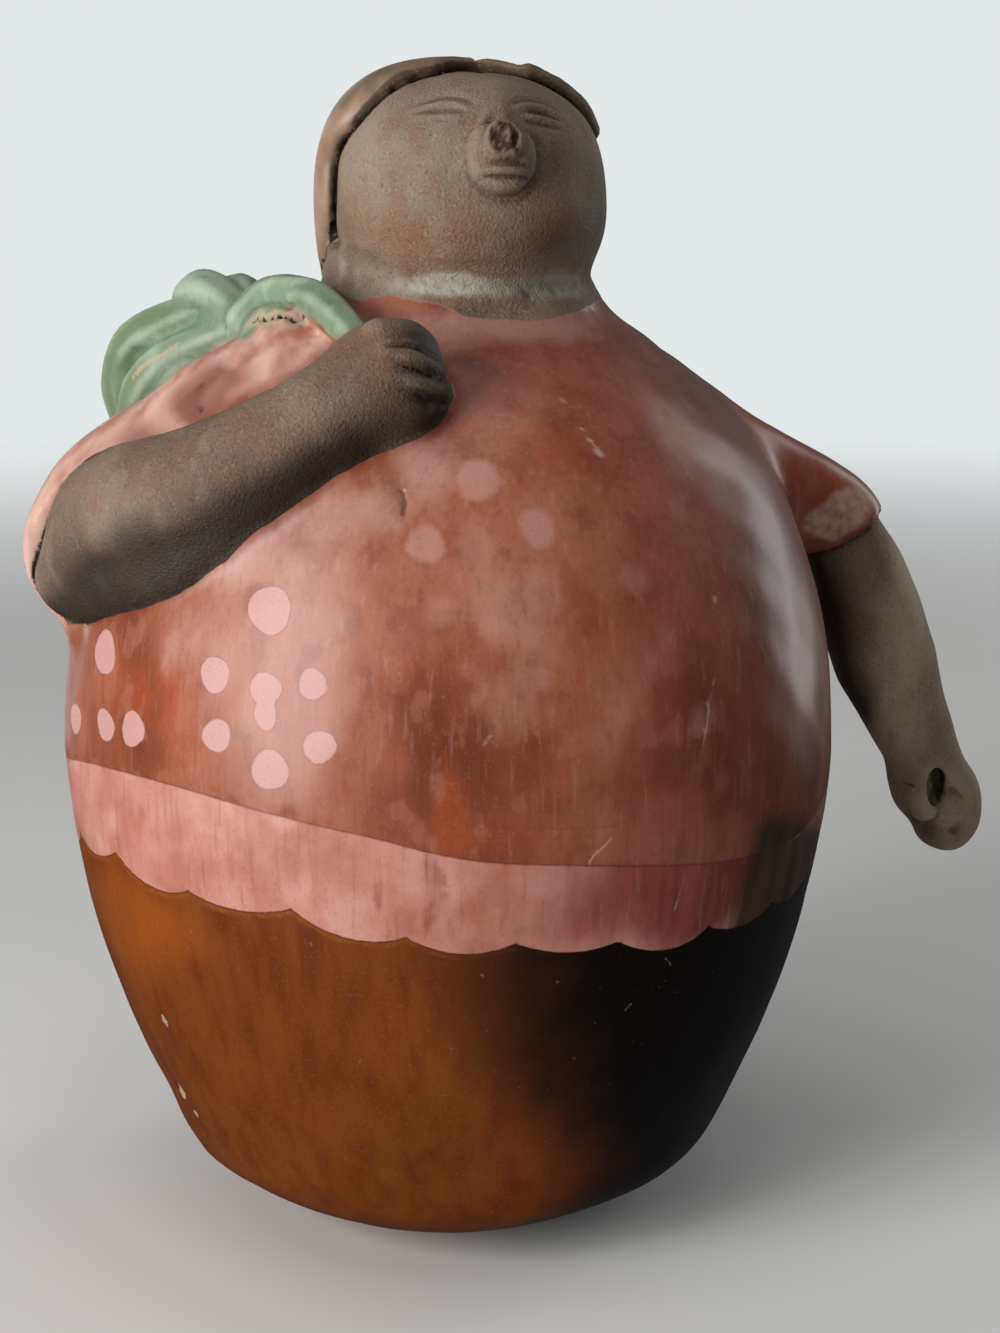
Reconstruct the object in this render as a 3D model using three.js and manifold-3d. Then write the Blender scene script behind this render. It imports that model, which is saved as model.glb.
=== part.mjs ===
// A burnished ceramic figurine of a very round standing woman with her head tipped back. Her right
// hand holds a bunch of green plantains on her shoulder, and her left arm hangs clear of the body.
// It is hand built and fired as one piece, so it is one solid.
//
// Millimetres, +Z up. The origin is the middle of the flat base, the woman faces -Y, and her own
// right side is -X. Every place below is an [x, y, z] in that frame.
import * as THREE from 'three';
import { mergeVertices } from 'three/addons/utils/BufferGeometryUtils.js';
import Module from 'manifold-3d';

// Body: a jar of revolution from the flat base to the neck, as [height, radius].
const HEIGHT = 250;
const BODY_OUTLINE = [
  [0, 30], [3, 36], [8, 46.5], [16, 57.5], [30, 65], [50, 73.2], [75, 80], [100, 83.5], [125, 82.4],
  [150, 76.3], [170, 66.6], [186, 50], [191.5, 43], [197, 34.5], [201, 30.4], [205, 28.2], [211, 27.6],
];
const BODY_SIDES = 48;
const BODY_RINGS = 22;
const NECK_LEAN = [1.8, -2]; // how far the neck stands off the body's axis
const LEAN_START = 186;
const LEAN_END = 205;

// Head: a dome that is fuller than a ball, tipped back so that the face looks up and ahead.
const HEAD_CENTRE = [3.5, -6, 221];
const HEAD_RADII = [28.4, 29.5, 26];
const HEAD_FULLNESS = 2.4; // exponent of the dome's upright section; 2 is a plain ellipse
const CHIN_DROP = 24; // half height of the dome below its widest level

// Hair: a smooth cap that stands proud of the dome, cut square along its front edge.
const HAIR_CENTRE = [1.5, -2, 220.5];
const HAIR_RADIUS = 31;
const HAIR_NARROWING = 0.97; // its width from side to side, as a share of its depth
const HAIR_FULLNESS = 2.5;
const HAIR_ENDS = [[204.5, 29.8], [209.5, 30.6]]; // [height, radius] of its straight lower part
const HAIR_FRONT = -3.5; // the y of the cap's front edge
const HAIR_KNOT = { centre: [30.2, -3, 234.8], radii: [2.4, 3, 3.2] };

// Face: a small raised muzzle with a blunt nose and two lips, high on the dome.
const MUZZLE = { centre: [2.6, -35, 229.5], radii: [7.2, 4.6, 7.2] };
const NOSE = { centre: [2.3, -38.6, 233.2], radii: [3, 2.6, 4.2] };
const LIPS = [
  { centre: [2.9, -38.2, 227], radii: [4.3, 1.9, 1.1] },
  { centre: [2.9, -37.6, 224.7], radii: [3.7, 2, 1.2] },
];

// Her right arm: a sleeve from the shoulder that wraps the elbow, its mouth cut flat and facing
// ahead, and a bare forearm that comes out of it and crosses the chest.
const RIGHT_SLEEVE = {
  path: [[-35, -14, 182.5], [-47, -11.5, 178], [-60, -3, 167.3], [-69.6, -1, 157.7], [-72.7, 0, 150.3]],
  radii: [13.6, 13.5, 13.5, 15.9, 18.5],
};
const RIGHT_MOUTH = { middle: [-74.2, -6.7, 148.9], facing: [-0.22, -0.95, -0.2] };
const FOREARM = {
  path: [[-77.5, -6, 147.7], [-70, -18, 157.8], [-64.1, -31, 163.1], [-53.6, -44, 170.2], [-39.5, -50, 179.2],
    [-25, -50, 187.4]],
  radii: [11.8, 15.1, 14.1, 12.5, 10.2, 11.2],
};
const FIST = { centre: [-25, -50, 187.4], radii: [11.2, 11, 11.4] };
const KNUCKLE_RADIUS = 3;
const KNUCKLES = [
  [[-26.5, -54.5, 196.4], [-22.3, -53.8, 195.6], [-18.4, -47.5, 192.8]],
  [[-26, -57, 193.4], [-21.9, -56, 192.2], [-17.2, -48, 189]],
  [[-26, -58, 189.8], [-21.4, -56.8, 188.4], [-16.4, -48, 185]],
  [[-26, -57.4, 186], [-21.6, -55.6, 184.2], [-17, -48, 181.6]],
];

// Her left arm: a sleeve that stands off the shoulder, a bare arm and a curled hand.
const LEFT_SLEEVE = {
  path: [[43.5, 0, 174.8], [55.7, 0, 167.8], [70.6, -0.5, 160.5], [83.5, -1, 154], [90.6, -1, 149],
    [94, -1, 143]],
  radii: [12.1, 12.1, 11.3, 10.6, 10.2, 10.2],
};
const LEFT_MOUTH = { middle: [92.3, -1, 147.6], facing: [0.52, 0, -0.86] };
const LEFT_ARM = {
  path: [[89.6, -1, 150], [95.6, -0.9, 138.2], [100, -0.4, 126.9], [104, 0, 115.4], [108.8, 0, 104.2],
    [114.3, 0, 93.3]],
  radii: [8.6, 10, 11.5, 11.9, 10, 8.5],
};
const PALM = { centre: [116.6, 3.4, 85.5], radii: [8.6, 4.8, 10.5] };
const FINGERS = {
  path: [[114.5, 0, 93], [120.4, 0, 89.4], [124, 0, 83.5], [124.1, 0, 76.5], [120.8, 0, 72.6],
    [117.6, 0, 73.8], [117, 0, 77]],
  radii: [4.2, 4.2, 4.2, 4.2, 4.1, 3.9, 3.5],
  widening: 1.9, // the four fingers are modelled as one flat band
};
const THUMB = {
  path: [[111, -2, 95], [111.5, -4.6, 87], [112.8, -5, 80.8]],
  radii: [4.4, 4.4, 3.2],
};

// Plantains: a bunch whose fingers run from a crown on the shoulder's top.
const BUNCH_HEART = { centre: [-50, 13, 183.5], radii: [12.5, 13, 11.5] };
const CROWN = { centre: [-36, -8, 193.5], radii: [9.5, 13, 7.6] };
const PLANTAINS = [
  { path: [[-44, -2, 197], [-39.2, -4, 201.6], [-33.9, -12, 202.4], [-30.5, -26, 199.7], [-27.6, -39, 194.6]],
    radii: [3.7, 4.1, 4.1, 4, 3.6] },
  { path: [[-43.5, 0, 196.4], [-47.6, 8, 199.8], [-49, 18, 200.4], [-49, 28, 197.4], [-48, 35, 189]],
    radii: [3.6, 4.8, 5.3, 4.8, 3.2] },
  { path: [[-45, 2, 196], [-50.6, 9, 196.9], [-57.2, 16, 194.2], [-63.8, 21, 189.6], [-66.5, 24, 181],
    [-66, 24, 171.5]],
    radii: [3.3, 4.4, 5, 5.2, 4.6, 3] },
  { path: [[-45, 0, 194.6], [-51.4, 4.5, 191.6], [-58.3, 9.5, 187.2], [-63.2, 13.5, 181.4],
    [-65.6, 17, 173.5]],
    radii: [3, 3.8, 4.6, 4.6, 3.6] },
  { path: [[-42, 2, 196.6], [-41.4, 11, 200], [-41, 22, 199.2], [-41.2, 33, 192], [-41, 40.5, 180.5]],
    radii: [3.6, 4.8, 5.1, 4.6, 3] },
];

// Steps of the round shapes.
const DOME_SIDES = 36;
const BLOB_SIDES = 12;
const LIMB_SIDES = 16;
const SMALL_SIDES = 10;
const KNUCKLE_SIDES = 6;
const KNUCKLE_RINGS = 4;
const SLEEVE_RINGS = 10;
const FINGER_RINGS = 14;
const CROWN_RINGS = 10;

const CUTTER = 130; // side of the blocks that trim the hair and the sleeves
const MERGE = 1e-3; // points closer than this are one point

const wasm = await Module();
wasm.setup();

// Joins a geometry's shared points, drops the flat triangles at its poles, turns its faces
// outwards and makes a solid of it.
function solid(geometry) {
  const bare = geometry.clone();
  bare.deleteAttribute('normal');
  bare.deleteAttribute('uv');
  const merged = mergeVertices(bare, MERGE);
  const corners = merged.index.array;
  const place = merged.attributes.position;
  const kept = [];
  let volume = 0;
  const [a, b, c] = [new THREE.Vector3(), new THREE.Vector3(), new THREE.Vector3()];
  for (let i = 0; i < corners.length; i += 3) {
    const [p, q, r] = [corners[i], corners[i + 1], corners[i + 2]];
    if (p === q || q === r || r === p) continue;
    kept.push(p, q, r);
    a.fromBufferAttribute(place, p);
    b.fromBufferAttribute(place, q);
    c.fromBufferAttribute(place, r);
    volume += a.dot(b.cross(c));
  }
  if (volume < 0) kept.reverse();
  return new wasm.Manifold(
    new wasm.Mesh({ numProp: 3, vertProperties: place.array, triVerts: new Uint32Array(kept) }),
  );
}

// Moves every point of a geometry by a rule that changes the point in place.
function reshape(geometry, rule) {
  const place = geometry.attributes.position;
  const point = new THREE.Vector3();
  for (let i = 0; i < place.count; i += 1) {
    point.fromBufferAttribute(place, i);
    rule(point);
    place.setXYZ(i, point.x, point.y, point.z);
  }
  return geometry;
}

// An ellipsoid.
function blob({ centre, radii }, sides = BLOB_SIDES) {
  const ball = new THREE.SphereGeometry(1, sides, Math.round(sides * 0.6));
  ball.rotateX(Math.PI / 2);
  ball.scale(...radii);
  ball.translate(...centre);
  return solid(ball);
}

// The radius of a full dome at a height over its widest level, as a share of its widest radius.
function domeShare(height, halfHeight, fullness) {
  const share = Math.min(1, Math.abs(height) / halfHeight);
  return (1 - share ** fullness) ** (1 / fullness);
}

// The value at t, from 0 to 1, of a list of evenly spaced values.
function along(values, t) {
  const at = t * (values.length - 1);
  const i = Math.min(Math.floor(at), values.length - 2);
  const f = at - i;
  return values[i] * (1 - f) + values[i + 1] * f;
}

// A round-ended limb: a lathe-turned rod with the limb's radii, laid along a smooth path. Its
// section is widened along Y by the factor widening.
function limb({ path, radii, widening = 1 }, sides = LIMB_SIDES, rings = Math.round(1.7 * path.length)) {
  const curve = new THREE.CatmullRomCurve3(path.map((p) => new THREE.Vector3(...p)), false, 'centripetal');
  const length = curve.getLength();
  const capSteps = Math.max(3, Math.round(sides / 5));
  const [first, last] = [radii[0], radii[radii.length - 1]];
  const rod = [];
  for (let i = 0; i < capSteps; i += 1) {
    const turn = (i / capSteps) * (Math.PI / 2);
    rod.push(new THREE.Vector2(first * Math.sin(turn), -first * Math.cos(turn)));
  }
  for (let i = 0; i <= rings; i += 1) {
    rod.push(new THREE.Vector2(along(radii, i / rings), (i / rings) * length));
  }
  for (let i = capSteps - 1; i >= 0; i -= 1) {
    const turn = (i / capSteps) * (Math.PI / 2);
    rod.push(new THREE.Vector2(last * Math.sin(turn), length + last * Math.cos(turn)));
  }
  const ahead = new THREE.Vector3();
  const across = new THREE.Vector3();
  const up = new THREE.Vector3();
  return solid(reshape(new THREE.LatheGeometry(rod, sides), (point) => {
    const station = THREE.MathUtils.clamp(point.y, 0, length);
    const beyond = point.y - station;
    curve.getTangentAt(station / length, ahead);
    up.set(0, 1, 0).addScaledVector(ahead, -ahead.y).normalize();
    across.crossVectors(up, ahead);
    const [side, rise] = [point.x, point.z];
    curve.getPointAt(station / length, point);
    point.addScaledVector(ahead, beyond).addScaledVector(across, side).addScaledVector(up, rise * widening);
  }));
}

// A jar turned about the upright line through centre, from [height, radius] pairs.
function turned(outline, sides, centre = [0, 0]) {
  const profile = [
    new THREE.Vector2(0, outline[0][0]),
    ...outline.map(([z, r]) => new THREE.Vector2(r, z)),
    new THREE.Vector2(0, outline[outline.length - 1][0]),
  ];
  const jar = new THREE.LatheGeometry(profile, sides);
  jar.rotateX(Math.PI / 2);
  jar.translate(centre[0], centre[1], 0);
  return jar;
}

// The body's outline with a smooth curve through its stations above the edge of the base.
function smoothOutline(stations, rings) {
  const curve = new THREE.SplineCurve(stations.slice(1).map(([z, r]) => new THREE.Vector2(z, r)));
  return [stations[0], ...curve.getSpacedPoints(rings).map((p) => [p.x, p.y])];
}

function body() {
  const jar = turned(smoothOutline(BODY_OUTLINE, BODY_RINGS), BODY_SIDES);
  return solid(reshape(jar, (point) => {
    const lean = THREE.MathUtils.smoothstep(point.z, LEAN_START, LEAN_END);
    point.x += NECK_LEAN[0] * lean;
    point.y += NECK_LEAN[1] * lean;
  }));
}

function head() {
  const ball = new THREE.SphereGeometry(1, DOME_SIDES, DOME_SIDES / 2);
  ball.rotateX(Math.PI / 2);
  return solid(reshape(ball, (point) => {
    const flat = Math.hypot(point.x, point.y);
    const turn = Math.atan2(point.z, flat);
    const power = 2 / HEAD_FULLNESS;
    const wide = flat > 1e-6 ? Math.cos(turn) ** power / flat : 0;
    const tall = Math.sign(turn) * Math.abs(Math.sin(turn)) ** power;
    point.x = HEAD_CENTRE[0] + HEAD_RADII[0] * wide * point.x;
    point.y = HEAD_CENTRE[1] + HEAD_RADII[1] * wide * point.y;
    point.z = HEAD_CENTRE[2] + tall * (tall > 0 ? HEAD_RADII[2] : CHIN_DROP);
  }));
}

function hair() {
  const crown = HEIGHT - HAIR_CENTRE[2];
  const outline = [...HAIR_ENDS];
  for (let i = 0; i < CROWN_RINGS; i += 1) {
    const rise = crown * Math.sin((i / CROWN_RINGS) * (Math.PI / 2));
    outline.push([HAIR_CENTRE[2] + rise, HAIR_RADIUS * domeShare(rise, crown, HAIR_FULLNESS)]);
  }
  const cap = turned(outline, DOME_SIDES, HAIR_CENTRE);
  reshape(cap, (point) => {
    point.x = HAIR_CENTRE[0] + (point.x - HAIR_CENTRE[0]) * HAIR_NARROWING;
    const onAxis = Math.hypot(point.x - HAIR_CENTRE[0], point.y - HAIR_CENTRE[1]) < 1e-6;
    if (onAxis && point.z > HAIR_CENTRE[2]) point.z = HEIGHT;
  });
  const behind = new THREE.BoxGeometry(CUTTER, CUTTER, 2 * HEIGHT);
  behind.translate(0, HAIR_FRONT + CUTTER / 2, HEIGHT);
  return solid(cap).intersect(solid(behind)).add(blob(HAIR_KNOT, SMALL_SIDES));
}

function face() {
  let features = blob(MUZZLE).add(blob(NOSE, SMALL_SIDES));
  for (const lip of LIPS) features = features.add(blob(lip, SMALL_SIDES));
  return features;
}

// A sleeve trimmed by the flat plane of its mouth.
function sleeve(shape, { middle, facing }) {
  const waste = new THREE.BoxGeometry(CUTTER, CUTTER, CUTTER);
  waste.translate(0, 0, CUTTER / 2);
  const out = new THREE.Vector3(...facing).normalize();
  waste.applyQuaternion(new THREE.Quaternion().setFromUnitVectors(new THREE.Vector3(0, 0, 1), out));
  waste.translate(...middle);
  return limb(shape, LIMB_SIDES, SLEEVE_RINGS).subtract(solid(waste));
}

function rightArm() {
  let arm = sleeve(RIGHT_SLEEVE, RIGHT_MOUTH).add(limb(FOREARM)).add(blob(FIST));
  for (const path of KNUCKLES) {
    arm = arm.add(limb({ path, radii: [KNUCKLE_RADIUS, KNUCKLE_RADIUS] }, KNUCKLE_SIDES, KNUCKLE_RINGS));
  }
  return arm;
}

function leftArm() {
  return sleeve(LEFT_SLEEVE, LEFT_MOUTH)
    .add(limb(LEFT_ARM))
    .add(blob(PALM))
    .add(limb(FINGERS, SMALL_SIDES, FINGER_RINGS))
    .add(limb(THUMB, SMALL_SIDES));
}

function plantains() {
  let bunch = blob(BUNCH_HEART).add(blob(CROWN, SMALL_SIDES));
  for (const finger of PLANTAINS) bunch = bunch.add(limb(finger, SMALL_SIDES));
  return bunch;
}

// A solid's surface as a three.js geometry.
function geometryOf(made) {
  const mesh = made.getMesh();
  const geometry = new THREE.BufferGeometry();
  geometry.setAttribute('position', new THREE.BufferAttribute(new Float32Array(mesh.vertProperties), 3));
  geometry.setIndex(new THREE.BufferAttribute(new Uint32Array(mesh.triVerts), 1));
  geometry.computeVertexNormals();
  return geometry;
}

// The small pockets that the limbs close off against the body are clay, so only the outer skin of
// the joined shapes is kept.
function withoutPockets(made) {
  return made.decompose().reduce((most, shell) => (shell.volume() > most.volume() ? shell : most));
}

const shapes = [head(), hair(), face(), rightArm(), leftArm(), plantains()];
const figure = withoutPockets(shapes.reduce((joined, shape) => joined.add(shape), body()));

const figurine = new THREE.Mesh(
  geometryOf(figure),
  new THREE.MeshStandardMaterial({ color: 0x9a4f3a, roughness: 0.42, metalness: 0 }),
);
figurine.name = 'figurine';

const group = new THREE.Group();
group.add(figurine);

export default group;
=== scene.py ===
"""A burnished clay figurine of a very round standing woman with a bunch of plantains on her shoulder.

The clay is one fired piece. Its shapes are profiles turned or carried along paths, joined by a voxel
remesh and settled onto one rule for the whole skin. The skin's squares are halved where the modelling
is fine, and then the incised, broken and pressed places are cut into it.
Lengths in the shape code are millimetres: +Z up, she faces -Y and her own right side is -X.
"""

import math

import bmesh
import bpy
import numpy as np
from bpy.props import FloatProperty, FloatVectorProperty, PointerProperty
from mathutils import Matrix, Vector


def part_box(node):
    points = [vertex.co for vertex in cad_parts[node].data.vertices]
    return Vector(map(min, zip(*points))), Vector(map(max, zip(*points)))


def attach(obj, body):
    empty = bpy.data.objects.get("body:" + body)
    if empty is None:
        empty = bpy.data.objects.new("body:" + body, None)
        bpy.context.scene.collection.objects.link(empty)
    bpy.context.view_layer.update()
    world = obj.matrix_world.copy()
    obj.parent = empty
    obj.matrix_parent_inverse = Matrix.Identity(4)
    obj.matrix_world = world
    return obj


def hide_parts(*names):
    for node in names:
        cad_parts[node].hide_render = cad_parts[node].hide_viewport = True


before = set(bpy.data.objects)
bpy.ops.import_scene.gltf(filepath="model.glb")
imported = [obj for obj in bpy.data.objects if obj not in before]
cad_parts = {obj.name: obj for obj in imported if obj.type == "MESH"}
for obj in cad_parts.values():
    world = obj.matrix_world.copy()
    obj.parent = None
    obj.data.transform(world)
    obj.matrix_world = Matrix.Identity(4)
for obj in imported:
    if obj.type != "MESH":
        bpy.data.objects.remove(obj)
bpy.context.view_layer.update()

bl_info = {
    "name": "Burnished clay figurine",
    "version": (1, 0, 0),
    "blender": (4, 5, 0),
    "location": "3D View > Sidebar > Figurine",
    "description": "Builds a burnished clay figurine and a plain studio around it",
    "category": "Add Mesh",
}

NODE = "figurine"
MM = 0.001  # one millimetre in metres
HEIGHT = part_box(NODE)[1].z / MM

# Body: a jar of revolution, as [height, radius], whose neck stands a little off its axis.
BODY_OUTLINE = [
    [3, 36], [8, 46.5], [16, 57.5], [30, 65], [50, 73.2], [75, 80], [100, 83.5], [125, 82.4],
    [150, 76.3], [170, 66.6], [186, 50], [191.5, 43], [197, 34.5], [201, 30.4], [205, 28.2], [211, 27.6],
]
FOOT_RADIUS = 30
NECK_LEAN = (1.8, -2)
LEAN_START = 186
LEAN_END = 205

# Head: a dome that is fuller than a ball. Hair: a cap that stands proud of it behind a front edge.
HEAD_CENTRE = (3.5, -6, 221)
HEAD_RADII = (28.4, 29.5, 26)
HEAD_FULLNESS = 2.4
CHIN_DROP = 24
HAIR_CENTRE = (1.5, -2, 220.5)
HAIR_RADIUS = 31
HAIR_NARROWING = 0.97
HAIR_FULLNESS = 2.5
HAIR_ENDS = [[204.5, 29.8], [209.5, 30.6]]
HAIR_FRONT = -3.5
HAIR_FORWARD = 7.5  # how far the front edge comes forward above her temples
HAIR_TIP = 9  # how far the front edge falls back towards the hair's lower end
PARTING = [(4.6, -12, 247.6), (5.6, -6, 249.4), (6.4, 4, 250.3), (6.6, 14, 248.6)]

# Round masses, as (centre, radii). The knot ends the strand of hair on her left, the heel is that of
# her left hand, and the plantains grow from the heart and the crown.
BLOBS = {
    "muzzle": ((2.7, -35, 229.6), (6.7, 4.6, 6.6)),
    "nose": ((2.1, -38.6, 233), (3.9, 2.6, 4.3)),
    "knot": ((29.6, -5, 235.4), (1.9, 2.6, 2.6)),
    "fist": ((-25, -50, 187.4), (11.2, 11, 11.4)),
    "palm": ((116.6, 3.4, 85.5), (8.6, 4.8, 10.5)),
    "heel": ((120, -0.5, 79.5), (5, 7, 5.4)),
    "heart": ((-50, 13, 183.5), (12.5, 13, 11.5)),
    "crown": ((-36, -8, 193.5), (9.5, 13, 7.6)),
}

# Limbs and other long masses, as (path, radii along it). The four curled fingers of her left hand are
# one band. The underarm is a pad under her right elbow, and the strand is a lock of hair on her left.
KNUCKLE = [3, 3]
RODS = {
    "right_sleeve": (
        [(-35, -14, 182.5), (-47, -11.5, 178), (-60, -3, 167.3), (-69.6, -1, 157.7), (-72.7, 0, 150.3)],
        [13.6, 13.5, 13.5, 15.9, 18.5],
    ),
    "forearm": (
        [(-80, -6, 144.9), (-69.7, -18, 157.4), (-64, -31, 162.2), (-51.3, -44, 170.7),
         (-39.5, -50, 179.2), (-25, -50, 187.4)],
        [9.2, 15.7, 14.5, 12.9, 10.2, 11.2],
    ),
    "knuckle_1": ([(-26.5, -54, 197), (-21.5, -53, 196.6), (-17.2, -48, 194)], KNUCKLE),
    "knuckle_2": ([(-26, -57, 193.4), (-21.2, -56.3, 192.4), (-16.4, -49.5, 190)], KNUCKLE),
    "knuckle_3": ([(-26, -58, 189.8), (-20.8, -57.2, 188.3), (-15.8, -50, 186)], KNUCKLE),
    "knuckle_4": ([(-26, -57.4, 186), (-21, -56.3, 184), (-16.4, -49.5, 181.8)], KNUCKLE),
    "left_sleeve": (
        [(43.5, 0, 174.8), (55.7, 0, 167.8), (70.6, -0.5, 160.5), (83.5, -1, 154), (90.6, -1, 149),
         (94, -1, 143)],
        [12.1, 12.1, 11.3, 10.6, 10.2, 10.2],
    ),
    "left_arm": (
        [(89.6, -1, 150), (95.6, -0.9, 138.2), (100, -0.4, 126.9), (104, 0, 115.4), (108.8, 0, 104.2),
         (114.3, 0, 93.3)],
        [8.6, 10, 11.5, 11.9, 10, 8.5],
    ),
    "fingers": (
        [(114.5, 0, 93), (120.4, 0, 89.4), (124, 0, 83.5), (124.1, 0, 76.5), (120.8, 0, 72.6),
         (117.6, 0, 73.8), (117, 0, 77)],
        [4.2, 4.2, 4.2, 4.2, 4.1, 3.9, 3.5],
    ),
    "thumb": ([(111, -2, 95), (111.5, -4.6, 87), (112.8, -5, 80.8)], [4.4, 4.4, 3.2]),
    "underarm": (
        [(-78.5, -13.5, 142.2), (-74, -21.2, 144.3), (-68.3, -33.1, 148.1), (-62.4, -40.8, 151.8),
         (-56.3, -45.9, 157.1)],
        [4.5, 5.2, 5.2, 4.8, 3.8],
    ),
    "strand": (
        [(15, -10.5, 246.4), (21.5, -10, 243.2), (26.6, -8.4, 239), (29.6, -5.6, 235)],
        [2.2, 2.4, 2.4, 2.3],
    ),
    "plantain_1": (
        [(-44, -2, 197), (-39.2, -4, 201.6), (-33.9, -12, 202.4), (-30.5, -26, 199.7), (-27.6, -39, 194.6)],
        [3.7, 4.1, 4.1, 4, 3.6],
    ),
    "plantain_2": (
        [(-43.5, 0, 196.4), (-48, 8, 199.2), (-49.4, 18, 199.6), (-49, 28, 196.6), (-48, 35, 188)],
        [3.8, 5.6, 6.2, 5.6, 3.6],
    ),
    "plantain_3": (
        [(-45, 2, 196), (-50.6, 9, 196.9), (-57.2, 16, 194.2), (-63.8, 21, 189.6), (-66.5, 24, 181),
         (-66, 24, 171.5)],
        [3.3, 4.4, 5, 5.2, 4.6, 3],
    ),
    "plantain_4": (
        [(-45, 0, 194.6), (-51.4, 4.5, 191.6), (-58.3, 9.5, 187.2), (-63.2, 13.5, 181.4),
         (-65.6, 17, 173.5)],
        [3, 3.8, 4.6, 4.6, 3.6],
    ),
    "plantain_5": (
        [(-42, 2, 196.6), (-42.4, 11, 199.4), (-42, 22, 198.4), (-41.6, 33, 191.4), (-41, 40.5, 180.5)],
        [3.8, 5.3, 5.6, 5, 3.2],
    ),
}
KNUCKLES = [name for name in RODS if name.startswith("knuckle")]
PLANTAINS = [name for name in RODS if name.startswith("plantain")]
FINGER_WIDENING = 1.9
MUZZLE_FULLNESS = 2.3
PLANTAIN_FACETS = 5
FACET_DEPTH = 0.06  # how far a plantain's ridges stand out, as a share of its radius

# The flat mouths that trim the sleeves, as (a place on the mouth, the way it faces).
MOUTHS = {
    "right_sleeve": ((-74.2, -6.7, 148.9), (-0.22, -0.95, -0.2)),
    "left_sleeve": ((92.3, -1, 147.6), (0.52, 0, -0.86)),
}

# The hollow inside her curled left hand, as (its mouth's centre, its radii, its lean in x and z per
# millimetre of depth).
HAND_HOLLOW = ((114.7, -7.4, 86.4), (2.3, 6, 4.6), (0.49, -0.3))

# The face's own plane, and strokes on it as (cut, half width, places across and up). A negative cut
# is a ridge.
FACE_MIDDLE = (2.6, -35, 229.5)
FACE_TILT = math.radians(17)
FACE_STROKES = [
    (0.5, 0.95, [(-14.6, 13.9), (-10.1, 15.3), (-7.2, 15.2), (-5, 14.1), (-3.9, 12.4)]),
    (-0.55, 0.8, [(-17, 12.4), (-11.1, 13.5), (-8.2, 13.4), (-5.3, 12.4)]),
    (0.75, 0.7, [(-12.6, 11.9), (-9.1, 11.9), (-5.8, 11.3)]),
    (-0.5, 0.9, [(-16.4, 10.6), (-11.5, 10.4), (-6.4, 9.9)]),
    (0.45, 0.95, [(3.6, 12.6), (8, 14), (12.1, 13.8), (16.4, 12.1)]),
    (-0.55, 0.8, [(3.6, 11.1), (8, 12.6), (12.1, 12.4), (16.8, 10.4)]),
    (0.75, 0.7, [(7, 11), (11.2, 11.1), (15, 9.9)]),
    (-0.5, 0.8, [(6.2, 9.7), (10.4, 9.5), (15.4, 8.6)]),
    (0.4, 0.7, [(5.6, 8.4), (9.7, 8), (14.4, 7.6)]),
    (-0.8, 2.2, [(1.2, 13), (0.9, 10), (0.4, 7)]),
    (-0.9, 1.2, [(-1.0, 12), (-2.4, 8.8), (-4.6, 5.6), (-6.0, 3.2)]),
    (-0.4, 1.3, [(-6.0, 4.2), (-6.9, 1), (-6.6, -2), (-5.2, -4.4)]),
    (0.35, 0.9, [(-4.6, -6.6), (0, -8.1), (5, -7), (7.6, -3.6), (8.4, 0.4), (7.6, 4.6)]),
    (0.4, 0.6, [(-4, -1.9), (0.2, -2), (4.4, -2.2)]),
    (-0.75, 0.75, [(-3, -3.1), (0.4, -3.1), (3.8, -3.5)]),
    (0.9, 0.45, [(-4.6, -4.1), (-0.6, -4.5), (4.9, -4.3)]),
    (-0.7, 0.75, [(-2.6, -5.6), (0.4, -5.9), (3.6, -5.5)]),
    (0.35, 1.2, [(-22, -10.7), (-18.6, -13), (-13.5, -14.9), (-8, -15.3)]),
]
EYE_HOLLOWS = [(-9.5, 12.4), (11, 10.6)]
# The broken nose: how far out its flat scar lies, and the scar as (across, up, half width, half
# height), with pits in it and stubs on it as (cut, across, up, width).
NOSE_SCAR_OUT = 5.7
NOSE_SCAR = (-0.4, 2.5, 3.7, 4.1)
NOSE_PITS = [(0.4, -1.8, 2.6, 1.4), (0.8, 1.9, 3.0, 0.9), (0.6, 1.6, 1.6, 0.7), (-0.6, 0.4, 3.6, 0.7),
             (-0.6, 0.3, 2.2, 0.7), (-0.8, 0.9, -0.2, 0.7), (0.35, -2.4, 0.6, 0.8)]

# Grooves elsewhere, as (cut, half width, places). They are laid onto the skin near their places. Painted
# shade darkens those between the fist's fingers and the one at the hair's lower end.
FINGER_GROOVES = [
    (1.2, 0.65, [(-26, -59.4, 195.4), (-22.5, -58.4, 194.9), (-19.6, -57.5, 193.6), (-15.4, -54, 191.6)]),
    (1.2, 0.6, [(-24.5, -60.4, 191.6), (-21.5, -59.9, 190.9), (-18.6, -58.6, 189.6), (-14.4, -53.5, 188)]),
    (1.1, 0.6, [(-24.5, -61, 187.5), (-21.6, -60, 186.6), (-18.6, -58.4, 185.4), (-14.4, -53.5, 184.2)]),
]
HAIR_END_GROOVE = (0.9, 0.6, [(-24.6, 0.4, 216), (-24.5, 2.1, 213.5), (-24.6, 3.6, 211.5),
                              (-25.2, 5.2, 209.4), (-25.5, 7.9, 207.3)])
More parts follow.
